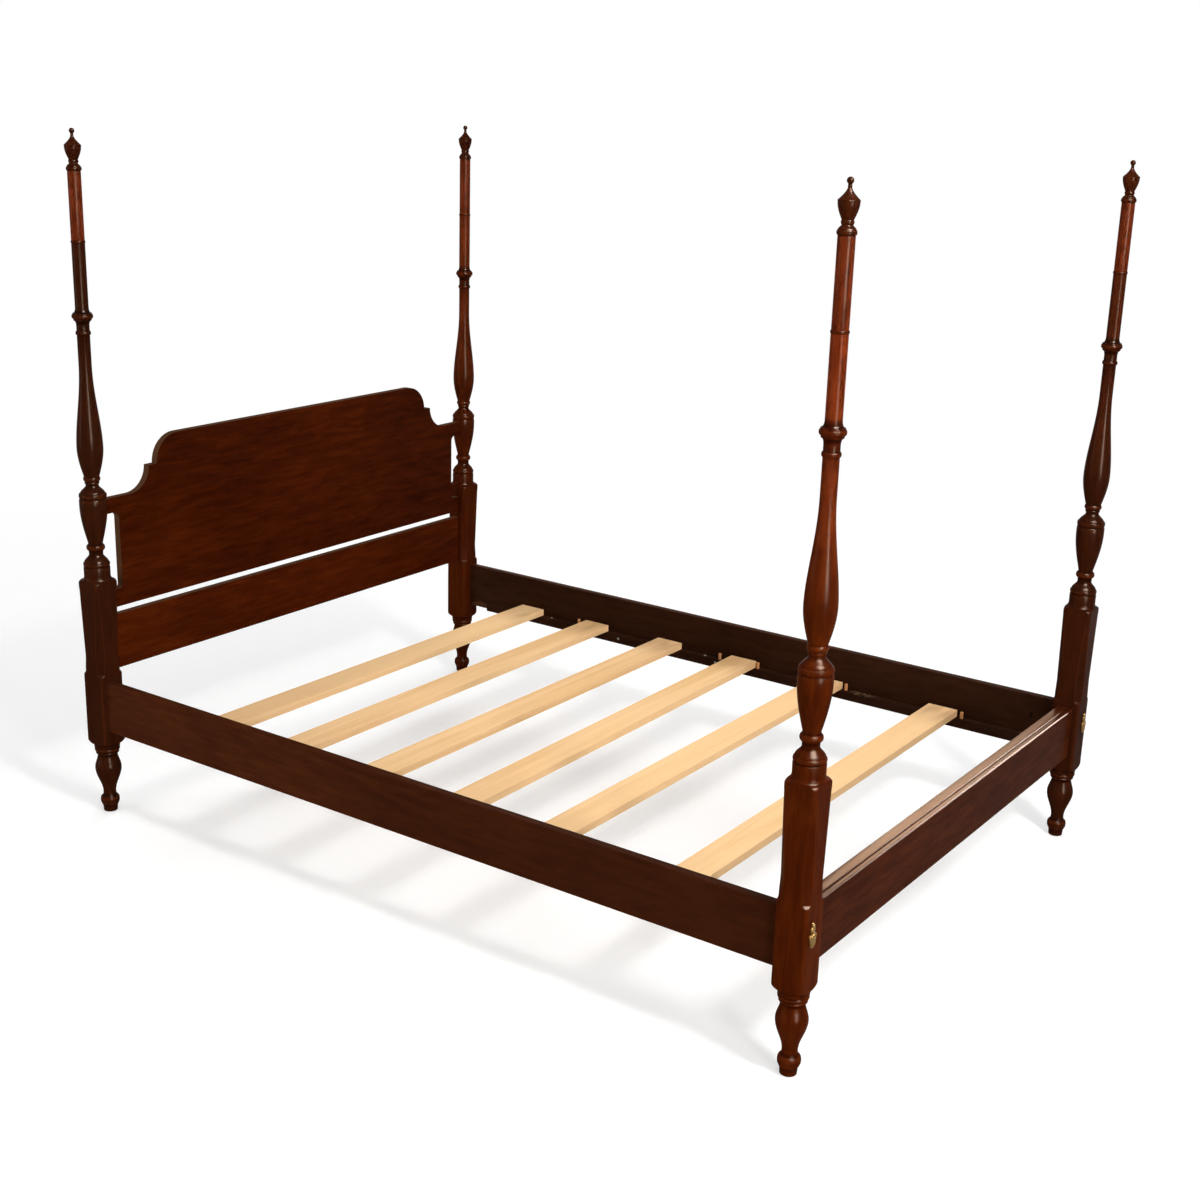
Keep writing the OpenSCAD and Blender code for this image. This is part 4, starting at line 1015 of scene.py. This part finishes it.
class BED_OT_column_tops(bpy.types.Operator):
    """Redder column tops on the posts' upper rings"""
    bl_idname = "bed.column_tops"
    bl_label = "Column tops"

    def execute(self, context):
        sizes = context.scene.bed_posts
        points = softened(outline(COLUMN_ROWS), 0.3)
        rims = [math.exp(-min(abs(height - COLUMN_FOOT), abs(height - COLUMN_TOP)) / RIM_REACH)
                for _, height in points]
        for number, (end, side) in enumerate(CORNERS):
            node = f"top_column_{end}_{side}"
            place = Matrix.Translation((*middle(node).xy, 0.0))
            shape = turned_shape(points, sizes.steps // 2, place, rims)
            dress(shape, f"turned_{node}", ROOT_BODY, [node],
                  red_mahogany(f"red mahogany {number + 1}", 0.37 * number))
        return {"FINISHED"}


class BED_OT_finials(bpy.types.Operator):
    """Urn finials with their spigots"""
    bl_idname = "bed.finials"
    bl_label = "Finials"

    def execute(self, context):
        sizes = context.scene.bed_posts
        radius = TIP_DIAMETER / 2
        ball = arc(0.0, TIP_FOOT + radius, radius, TIP_START, 90, 24)
        points = outline(FINIAL_ROWS) + ball[:-1] + [(0.0, TIP_FOOT + TIP_DIAMETER)]
        points = softened(points, 0.35)
        timber = Mahogany("mahogany, finials", "z", 5.1, -0.07)
        timber.browned(0.4)
        material = timber.polished()
        for end, side in CORNERS:
            node = f"finial_{end}_{side}"
            place = Matrix.Translation((*middle(node).xy, FINIAL_SEAT * MM))
            shape = turned_shape(points, sizes.steps // 2, place, crests(points, 4.0, 2.5))
            dress(shape, f"turned_{node}", node, [node], material)
        return {"FINISHED"}


# Headboard

def end_tenons(end, tenon):
    """A tenon at both ends of a board across the bed, which starts a little inside the board."""
    depth, thickness, foot, top = tenon
    y = ENDS[end] * POST_Y
    root, tip = INNER_X - 0.5 * MM, INNER_X + depth
    return [box_shape((sign * root, y - thickness / 2, foot),
                      (sign * tip, y + thickness / 2, top)) for sign in SIDES.values()]


class BED_OT_headboard(bpy.types.Operator):
    """Shaped headboard panel and the plain rail under it"""
    bl_idname = "bed.headboard"
    bl_label = "Headboard"

    def execute(self, context):
        sizes = context.scene.bed_headboard
        timber = Mahogany("mahogany, headboard", "x", 1.7, -0.045)
        # Painted reflection on the panel's narrow faces
        timber.painted_sheen_on_narrow_faces("headboard_panel")
        front = middle("headboard_panel").y - 0.5 * sizes.thickness
        shape = drawn_out([(x, front, z) for x, z in self.panel_outline(sizes)],
                          (0, sizes.thickness, 0))
        panel = dress(shape, "headboard_panel_shaped", ROOT_BODY, ["headboard_panel"],
                      timber.polished())
        cut(panel, end_tenons("head", PANEL_TENON), "UNION")
        smooth(panel.data, 30.0)
        ease_edges(panel, sizes.easing)
        timber = Mahogany("mahogany, head rail", "x", 9.4, 0.012)
        # Painted reflection on the rail's narrow faces
        timber.painted_sheen_on_narrow_faces("headboard_rail")
        rail = dress(copied_shape("headboard_rail"), "headboard_rail_plain", ROOT_BODY,
                     ["headboard_rail"], timber.polished())
        ease_edges(rail, sizes.easing)
        return {"FINISHED"}

    def panel_outline(self, sizes):
        """The panel's outline, clockwise from the lower middle."""
        floor_z, top_z = low("headboard_panel").z, high("headboard_panel").z
        post_x, shoulder = INNER_X + HALF_POST, sizes.shoulder_radius
        slot_x, slot_z = post_x - sizes.slot_reach, floor_z + sizes.slot_foot
        step_z = top_z - shoulder
        arm_top = step_z - sizes.cove_radius
        arm_z = arm_top - sizes.arm_height
        arm_end = post_x - sizes.arm_reach
        cove_x = post_x - sizes.cove_reach
        shoulder_x = cove_x - sizes.cove_radius - sizes.step_width
        foot, top = sizes.slot_foot_radius, sizes.slot_top_radius
        half = [(INNER_X, floor_z), (INNER_X, slot_z)]
        half += arc(slot_x + foot, slot_z + foot, foot, 270, 180, 10)
        half += arc(slot_x + top, arm_z - top, top, 180, 90, 14)
        half += [(arm_end, arm_z), (arm_end, arm_top)]
        half += arc(cove_x, step_z, sizes.cove_radius, 270, 180, 36)
        half += arc(shoulder_x - shoulder, step_z, shoulder, 0, 90, 40)
        return half + [(-x, z) for x, z in reversed(half)]


# Rails, ledgers and slats

class BED_OT_foot_rail(bpy.types.Operator):
    """Foot rail with its moulded top edge"""
    bl_idname = "bed.foot_rail"
    bl_label = "Foot rail"

    def execute(self, context):
        sizes = context.scene.bed_rails
        shape = drawn_out([(-INNER_X, y, z) for y, z in self.section(sizes)], (2 * INNER_X, 0, 0))
        timber = Mahogany("mahogany, foot rail", "x", 4.6, -0.05)
        timber.browned(0.5)
        piece = dress(shape, "foot_rail_moulded", ROOT_BODY, ["foot_rail"],
                      timber.polished())
        cut(piece, end_tenons("foot", FOOT_RAIL_TENON), "UNION")
        smooth(piece.data, 24.0)
        return {"FINISHED"}

    def section(self, sizes):
        """The rail's section, as Y and Z in metres."""
        (_, outer, floor_z), (_, inner, top_z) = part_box("foot_rail")
        ease, fillet = sizes.easing, 0.5 * MM
        arris, groove, rounding = sizes.arris, sizes.groove, sizes.outer_round
        flat_y, sunk = inner - sizes.flat, top_z - sizes.quirk
        band_y = flat_y - arris - groove
        points = [(inner - ease, floor_z), (inner, floor_z + ease)]
        points += arc(inner - ease, top_z - ease, ease, 0, 90, 5)
        points += arc(flat_y, top_z - arris, arris, 90, 180, 8)
        points += [(flat_y - arris, sunk - groove), (band_y, sunk - groove)]
        points += arc(band_y - fillet, sunk - fillet, fillet, 0, 90, 4)
        points += arc(outer + rounding, sunk - rounding, rounding, 90, 180, 14)
        points += [(outer, floor_z + ease), (outer + ease, floor_z)]
        return points


class BED_OT_side_rails(bpy.types.Operator):
    """Plain side rails with nut pockets and stub tenons"""
    bl_idname = "bed.side_rails"
    bl_label = "Side rails"

    def execute(self, context):
        sizes = context.scene.bed_rails
        for side, shift in (("left", 2.9), ("right", 7.7)):
            node = f"side_rail_{side}"
            timber = Mahogany(f"mahogany, {side} side rail", "y", shift)
            timber.browned(0.8)
            timber.rail_inside(side)
            if side == "right":
                timber.rubbed_patch()
            piece = dress(copied_shape(node), f"{node}_plain", ROOT_BODY, [node],
                          timber.polished())
            ease_edges(piece, sizes.easing)
        return {"FINISHED"}


class BED_OT_ledgers(bpy.types.Operator):
    """Ledger strips that carry the slats"""
    bl_idname = "bed.ledgers"
    bl_label = "Ledgers"

    def execute(self, context):
        sizes = context.scene.bed_rails
        for side, shift in (("left", 12.9), ("right", 17.7)):
            node = f"ledger_{side}"
            timber = Mahogany(f"dark wood, {side} ledger", "y", shift, -0.05)
            timber.worn = 0.22
            # Thin finish over painted shade towards the foot
            timber.painted_foot_shade_and_thin_finish(1.0)
            if side == "right":
                # Scratches with a painted glint, and scuffs
                timber.scratches()
            piece = dress(copied_shape(node), f"{node}_strip", ROOT_BODY, [node],
                          timber.polished())
            ease_edges(piece, 0.8 * sizes.easing, 2)
        return {"FINISHED"}


class BED_OT_slats(bpy.types.Operator):
    """Six loose pale slats"""
    bl_idname = "bed.slats"
    bl_label = "Slats"

    # How much lighter each slat is, from the head
    TONES = (0.07, 0.0, 0.0, -0.01, 0.015, 0.05)

    def execute(self, context):
        sizes = context.scene.bed_slats
        for number, tone in enumerate(self.TONES, 1):
            node = f"slat_{number}"
            piece = dress(copied_shape(node), f"{node}_sawn", node, [node],
                          pale_wood(f"pale wood {number}", 3.7 * number, tone))
            ease_edges(piece, sizes.easing, 2)
        return {"FINISHED"}


class BED_OT_pegs(bpy.types.Operator):
    """Dowel pegs that stop the slats from sliding"""
    bl_idname = "bed.pegs"
    bl_label = "Pegs"

    def execute(self, context):
        sizes = context.scene.bed_slats
        material = peg_wood("peg wood")
        for side in SIDES:
            node = f"slat_pegs_{side}"
            shape = bmesh.new()
            for centre in self.places(node):
                radius, edge = sizes.peg_width / 2 / MM, sizes.peg_easing / MM
                foot, top = low(node).z / MM, high(node).z / MM
                peg = turned_shape(softened([(0, foot), (radius - 0.5, foot), (radius, foot + 0.5),
                                             (radius, top - edge), (radius - edge, top - 0.2),
                                             (0, top)], 0.4),
                                   32, Matrix.Translation((*centre, 0.0)))
                mesh = bpy.data.meshes.new("peg")
                peg.to_mesh(mesh)
                peg.free()
                shape.from_mesh(mesh)
                bpy.data.meshes.remove(mesh)
            dress(shape, f"{node}_turned", ROOT_BODY, [node], material)
        return {"FINISHED"}

    def places(self, node):
        """Where the CAD node has its pegs, found from the middles of its loose parts."""
        shape = copied_shape(node)
        found = []
        for vertex in shape.verts:
            near = next((group for group in found if (group[0] - vertex.co.xy).length < 0.012), None)
            if near:
                near.append(vertex.co.xy.copy())
            else:
                found.append([vertex.co.xy.copy()])
        shape.free()
        return [((min(p.x for p in group) + max(p.x for p in group)) / 2,
                 (min(p.y for p in group) + max(p.y for p in group)) / 2) for group in found]


# Hardware

class BED_OT_hardware(bpy.types.Operator):
    """Bolts, nuts, screws and pins"""
    bl_idname = "bed.hardware"
    bl_label = "Hardware"

    def execute(self, context):
        plain_steel, plain_brass = steel("steel"), brass("brass, pins")
        finishes = {"bed_bolts": plain_steel, "bed_bolt_nuts": blackened("blackened nuts"),
                    "ledger_screws_left": plain_steel, "ledger_screws_right": plain_steel,
                    "cover_pins": plain_brass}
        for node, material in finishes.items():
            for place in frame["nodes"][node].material_slots:
                place.material = material
        return {"FINISHED"}


class BED_OT_bolt_covers(bpy.types.Operator):
    """Fluted brass covers that hide the bed bolts' heads"""
    bl_idname = "bed.bolt_covers"
    bl_label = "Bolt covers"

    # In millimetres: radius of the boss round the pin and of the bead under it, and how far
    # below the pin the bead's middle and the fluted body's shoulder lie
    BOSS, BEAD, BEAD_DOWN, SHOULDER_DOWN = 4.5, 7.4, 10.9, 16.8
    # How finely its face is cut
    ROWS, COLUMNS = 132, 60
    # Thickness at the rims of the boss, the bead and the body, how far below the pin the boss's
    # face ends, and how long the flutes take to rise and to run out
    BOSS_RIM, BEAD_RIM, BODY_RIM, BOSS_END = 1.6, 1.4, 1.2, 4.0
    FLUTE_RISE, FLUTE_END = 3.0, 7.0
    # The pin's bore as radius and height over the cover's back
    BORE = ((0, -4), (1.58, -4), (1.58, 6), (0, 6))

    def execute(self, context):
        sizes = context.scene.bed_covers
        material = brass("brass, covers")
        for end, side in CORNERS:
            node = f"bolt_cover_{end}_{side}"
            face_y = low(node).y if end == "head" else high(node).y
            pin_z = high(node).z - self.BOSS * MM
            place = Matrix.Translation((middle(node).x, face_y, pin_z))
            turn = Matrix.Rotation(math.pi if end == "head" else 0.0, 4, "Z")
            shape = self.cover_shape(sizes)
            bmesh.ops.transform(shape, matrix=place @ turn, verts=shape.verts)
            piece = dress(shape, f"{node}_fluted", node, [node], material, 50.0)
            cut(piece, [turned_shape(self.BORE, 24, place @ facing(ENDS[end]))])
            smooth(piece.data, 50.0)
        return {"FINISHED"}

    def cover_shape(self, sizes):
        """The cover seen from -Y, its pin at the origin and its body below."""
        shape = bmesh.new()
        values = shape.verts.layers.float.new("crest")
        bmesh.ops.create_grid(shape, x_segments=self.COLUMNS, y_segments=self.ROWS, size=0.5)
        foot, top = -sizes.height / MM, self.BOSS
        for vertex in shape.verts:
            across, up = 2 * vertex.co.x, vertex.co.y + 0.5
            down = -(foot + (top - foot) * up)
            half = self.half_width(down, sizes)
            relief, crest = self.relief(across, down, sizes)
            vertex.co = (across * half * MM, -relief * MM, -down * MM)
            vertex[values] = crest
        rim = [edge for edge in shape.edges if edge.is_boundary]
        grown = bmesh.ops.extrude_edge_only(shape, edges=rim)
        back = [item for item in grown["geom"] if isinstance(item, bmesh.types.BMVert)]
        for vertex in back:
            vertex.co.y = 0.0
        bmesh.ops.contextual_create(shape, geom=[item for item in grown["geom"]
                                                 if isinstance(item, bmesh.types.BMEdge)])
        bmesh.ops.remove_doubles(shape, verts=shape.verts, dist=1e-5)
        bmesh.ops.recalc_face_normals(shape, faces=shape.faces)
        return shape

    def half_width(self, down, sizes):
        """Half the cover's width at a distance below its pin, in millimetres."""
        wide = sizes.width / MM / 2
        body = sizes.height / MM - self.SHOULDER_DOWN
        start, widest, low_round = (self.SHOULDER_DOWN + part * body for part in (0.02, 0.18, 0.72))
        neck, least, narrowed = 3.1, 0.9, 0.66
        reach = max(least, self.round_reach(self.BOSS, down),
                    self.round_reach(self.BEAD, down - self.BEAD_DOWN))
        if 0.0 <= down <= self.SHOULDER_DOWN:
            reach = max(reach, neck)
        if start < down <= widest:
            reach = max(reach, wide * self.round_reach(1, (widest - down) / (widest - start)))
        elif widest < down <= low_round:
            reach = wide * (1 - (1 - narrowed) * (down - widest) / (low_round - widest))
        elif down > low_round:
            part = (down - low_round) / (sizes.height / MM - low_round)
            reach = max(0.3, narrowed * wide * self.round_reach(1, part))
        return reach

    def round_reach(self, radius, off):
        """Half the width of a disc at a distance from its middle."""
        return math.sqrt(max(0.0, radius ** 2 - off ** 2))

    def relief(self, across, down, sizes):
        """Height of the cover's face, in millimetres, and how far it stands out."""
        thick, proud, foot = (size / MM for size in (sizes.thickness, sizes.relief, sizes.height))
        rim = self.round_reach(1, across)
        if down < self.BOSS_END:
            return self.BOSS_RIM + 1.4 * min(1.0, 2.2 * rim), 0.2
        if down < self.SHOULDER_DOWN:
            bulge = self.round_reach(1, (down - self.BEAD_DOWN) / self.BEAD)
            rise = thick + 0.6 * proud - self.BEAD_RIM
            return self.BEAD_RIM + rise * rim * bulge ** 0.5, bulge * rim - 0.5
        start = min(1.0, (down - self.SHOULDER_DOWN) / self.FLUTE_RISE)
        end = max(0.0, min(1.0, (foot - down) / self.FLUTE_END))
        lane = (across + 1) / 2 * sizes.flutes
        flute = self.round_reach(1, 2 * (lane % 1.0) - 1)
        body = self.BODY_RIM + (thick - self.BODY_RIM) * rim ** 0.6
        ridge = proud * flute * start * end ** 0.7 * rim ** 0.4
        return body * (0.45 + 0.55 * start) + ridge, 1.2 * flute - 0.7


# Stage

# Where the picture was taken from, in metres, and the camera's tilt, roll and heading in degrees
CAMERA_PLACE = (-3.3474, -2.3448, 1.8445)
CAMERA_TURN = (73.0825, -1.6910, -54.7920)
CAMERA_LENS = 51.357
# What the lamps are aimed at
FOOT, MIDDLE = (-0.6, -0.8, 0.6), (0.0, 0.0, 1.0)
WHITE = (1.0, 1.0, 1.0)
# Finishes that the lamps for the polish don't reach, by how their names start
KEPT_DULL = ("brass", "pale wood", "peg wood", "steel", "blackened", "mahogany, headboard")


class BED_OT_stage(bpy.types.Operator):
    """Pale floor, soft lamps and the camera"""
    bl_idname = "bed.stage"
    bl_label = "Stage"

    def execute(self, context):
        stage = context.scene.bed_stage
        context.scene.view_settings.view_transform = "Standard"
        self.camera(context)
        self.floor(stage)
        self.air(context, stage)
        self.lamp("key", (-1.2, -3.35, 3.8), FOOT, (0.7, 0.7), stage.key)
        self.lamp("front strip", (-3.6, -6.2, 1.3), MIDDLE, (0.6, 2.4), stage.front)
        self.lamp("window strip", (-5.6, 4.6, 1.3), MIDDLE, (0.6, 2.4), stage.window, "light")
        self.lamp("overhead", (-0.4, -0.6, 4.6), (0.0, 0.0, 0.0), (4.5, 4.5), stage.overhead)
        self.lamp("far panel", (6.6, 2.9, 4.1), FOOT, (4.0, 2.2), stage.far, "light")
        self.lamp("key sheen", (-1.5, -3.2, 3.9), FOOT, (2.4, 2.4), stage.sheen, "gloss")
        self.lamp("front sheen", (-3.6, -6.3, 1.3), MIDDLE, (2.0, 2.6), 0.36 * stage.sheen,
                  "gloss")
        self.lamp("window sheen", (-5.6, 4.7, 1.3), MIDDLE, (1.6, 2.6), 0.03 * stage.sheen,
                  "gloss")
        self.lamp("far sheen", (6.7, 1.95, 4.05), FOOT, (1.6, 2.0), stage.rail_sheen, "gloss",
                  (1.0, 0.66, 0.42))
        self.lamp("side sheen", (6.6, -2.2, 2.7), FOOT, (5.0, 3.4), stage.edge_sheen, "gloss",
                  (1.0, 0.84, 0.72))
        self.keep_off_dull(context)
        return {"FINISHED"}

    def keep_off_dull(self, context):
        """Keeps the lamps for the polish off the flat panel, the metals and the bare wood, and
        the two lamps behind off all but the foot rail."""
        dull = bpy.data.collections.new("not polished")
        rail = bpy.data.collections.new("foot rail alone")
        rail.objects.link(bpy.data.objects["foot_rail_moulded"])
        for piece in context.scene.objects:
            if any(place.material and place.material.name.startswith(KEPT_DULL)
                   for place in piece.material_slots):
                dull.objects.link(piece)
        for entry in dull.collection_objects:
            entry.light_linking.link_state = "EXCLUDE"
        for lamp in context.scene.objects:
            if lamp.type == "LIGHT" and not lamp.visible_diffuse:
                behind = lamp.name in ("far sheen", "side sheen")
                lamp.light_linking.receiver_collection = rail if behind else dull

    def camera(self, context):
        """The camera where the picture was taken from."""
        data = bpy.data.cameras.new("camera")
        data.lens = CAMERA_LENS
        data.sensor_width = 36.0
        data.clip_start, data.clip_end = 0.05, 200.0
        eye = bpy.data.objects.new("camera", data)
        context.scene.collection.objects.link(eye)
        eye.location = CAMERA_PLACE
        eye.rotation_euler = [math.radians(angle) for angle in CAMERA_TURN]
        context.scene.camera = eye

    def shown(self, bench):
        """1 for rays from the camera, from a gloss or through glass, otherwise 0."""
        path = bench.node("LightPath", out="Is Camera Ray")
        gloss = Wire(bench, path.socket.node.outputs["Is Glossy Ray"])
        through = Wire(bench, path.socket.node.outputs["Is Transmission Ray"])
        return bench.node("Clamp", None, {"Value": path + gloss + through})

    def floor(self, stage):
        """A wide pale floor that keeps the bed's shadow."""
        material, bench = finish("pale floor")
        shown = self.shown(bench)
        seen = bench.node("LightPath", out="Is Camera Ray")
        tint = bench.blend(seen, tuple(stage.floor), dimmed(WHITE, stage.floor_shown))
        lit = bench.node("BsdfDiffuse", None, {"Color": tint})
        white = bench.node("Emission", None, {"Color": WHITE, "Strength": 1.0})
        place = bench.place()
        across, along = bench.axis(place, "x"), bench.axis(place, "y")
        away = (across * across + 0.7 * along * along) ** 0.5
        distant = bench.between(away, 1.6, 3.6)
        backdrop = distant * shown + (1 - distant) * stage.shadow_lift * seen
        surface = bench.node("MixShader", None, {0: backdrop, 1: lit, 2: white})
        bench.node("OutputMaterial", None, {"Surface": surface})
        shape = bmesh.new()
        bmesh.ops.create_grid(shape, x_segments=2, y_segments=2, size=60.0)
        mesh = bpy.data.meshes.new("floor")
        shape.to_mesh(mesh)
        shape.free()
        mesh.materials.append(material)
        linked("floor", mesh)

    def air(self, context, stage):
        """Plain light from all round, which the camera sees as white."""
        world = bpy.data.worlds.new("studio")
        context.scene.world = world
        world.use_nodes = True
        bench = Bench(world.node_tree)
        strength = stage.fill + (1.0 - stage.fill) * self.shown(bench)
        surface = bench.node("Background", None, {"Color": WHITE, "Strength": strength})
        bench.node("OutputWorld", None, {"Surface": surface})

    def lamp(self, name, place, aim, size, brightness, shows="both", tint=WHITE):
        """A soft panel lamp of a given brightness that the camera doesn't see. It shows as
        light, as gloss, or as both."""
        data = bpy.data.lights.new(name, "AREA")
        data.shape = "RECTANGLE"
        data.size, data.size_y = size
        data.energy = brightness * math.pi * size[0] * size[1]
        data.color = tint
        lamp = bpy.data.objects.new(name, data)
        bpy.context.scene.collection.objects.link(lamp)
        lamp.location = place
        away = Vector(place) - Vector(aim)
        lamp.rotation_mode = "QUATERNION"
        lamp.rotation_quaternion = away.to_track_quat("Z", "Y")
        lamp.visible_camera = False
        lamp.visible_diffuse = shows != "gloss"
        lamp.visible_glossy = shows != "light"


# Sidebar and registration

PIECES = (BED_OT_posts, BED_OT_column_tops, BED_OT_finials, BED_OT_headboard, BED_OT_foot_rail,
          BED_OT_side_rails, BED_OT_ledgers, BED_OT_slats, BED_OT_pegs, BED_OT_hardware,
          BED_OT_bolt_covers, BED_OT_stage)


class BED_PT_panel(bpy.types.Panel):
    """Sizes, colours and makers of the bed's pieces"""
    bl_idname = "BED_PT_panel"
    bl_label = "Poster bed"
    bl_space_type = "VIEW_3D"
    bl_region_type = "UI"
    bl_category = "Poster bed"

    def draw(self, context):
        for name, group in SETTINGS.items():
            box = self.layout.box()
            box.label(text=group.__doc__)
            for key in group.__annotations__:
                label = key.replace("_", " ").capitalize()
                box.prop(getattr(context.scene, name), key, text=label)
        for operator in PIECES:
            self.layout.operator(operator.bl_idname)


def register():
    """Adds the classes and their settings."""
    for entry in (*SETTINGS.values(), *PIECES, BED_PT_panel):
        bpy.utils.register_class(entry)
    for name, group in SETTINGS.items():
        setattr(bpy.types.Scene, name, PointerProperty(type=group))


def unregister():
    """Takes the classes and their settings away."""
    for name in SETTINGS:
        delattr(bpy.types.Scene, name)
    for entry in reversed((*SETTINGS.values(), *PIECES, BED_PT_panel)):
        bpy.utils.unregister_class(entry)


def main():
    """Makes every piece."""
    register()
    for operator in PIECES:
        group, action = operator.bl_idname.split(".")
        getattr(getattr(bpy.ops, group), action)()


if __name__ == "__main__":
    main()
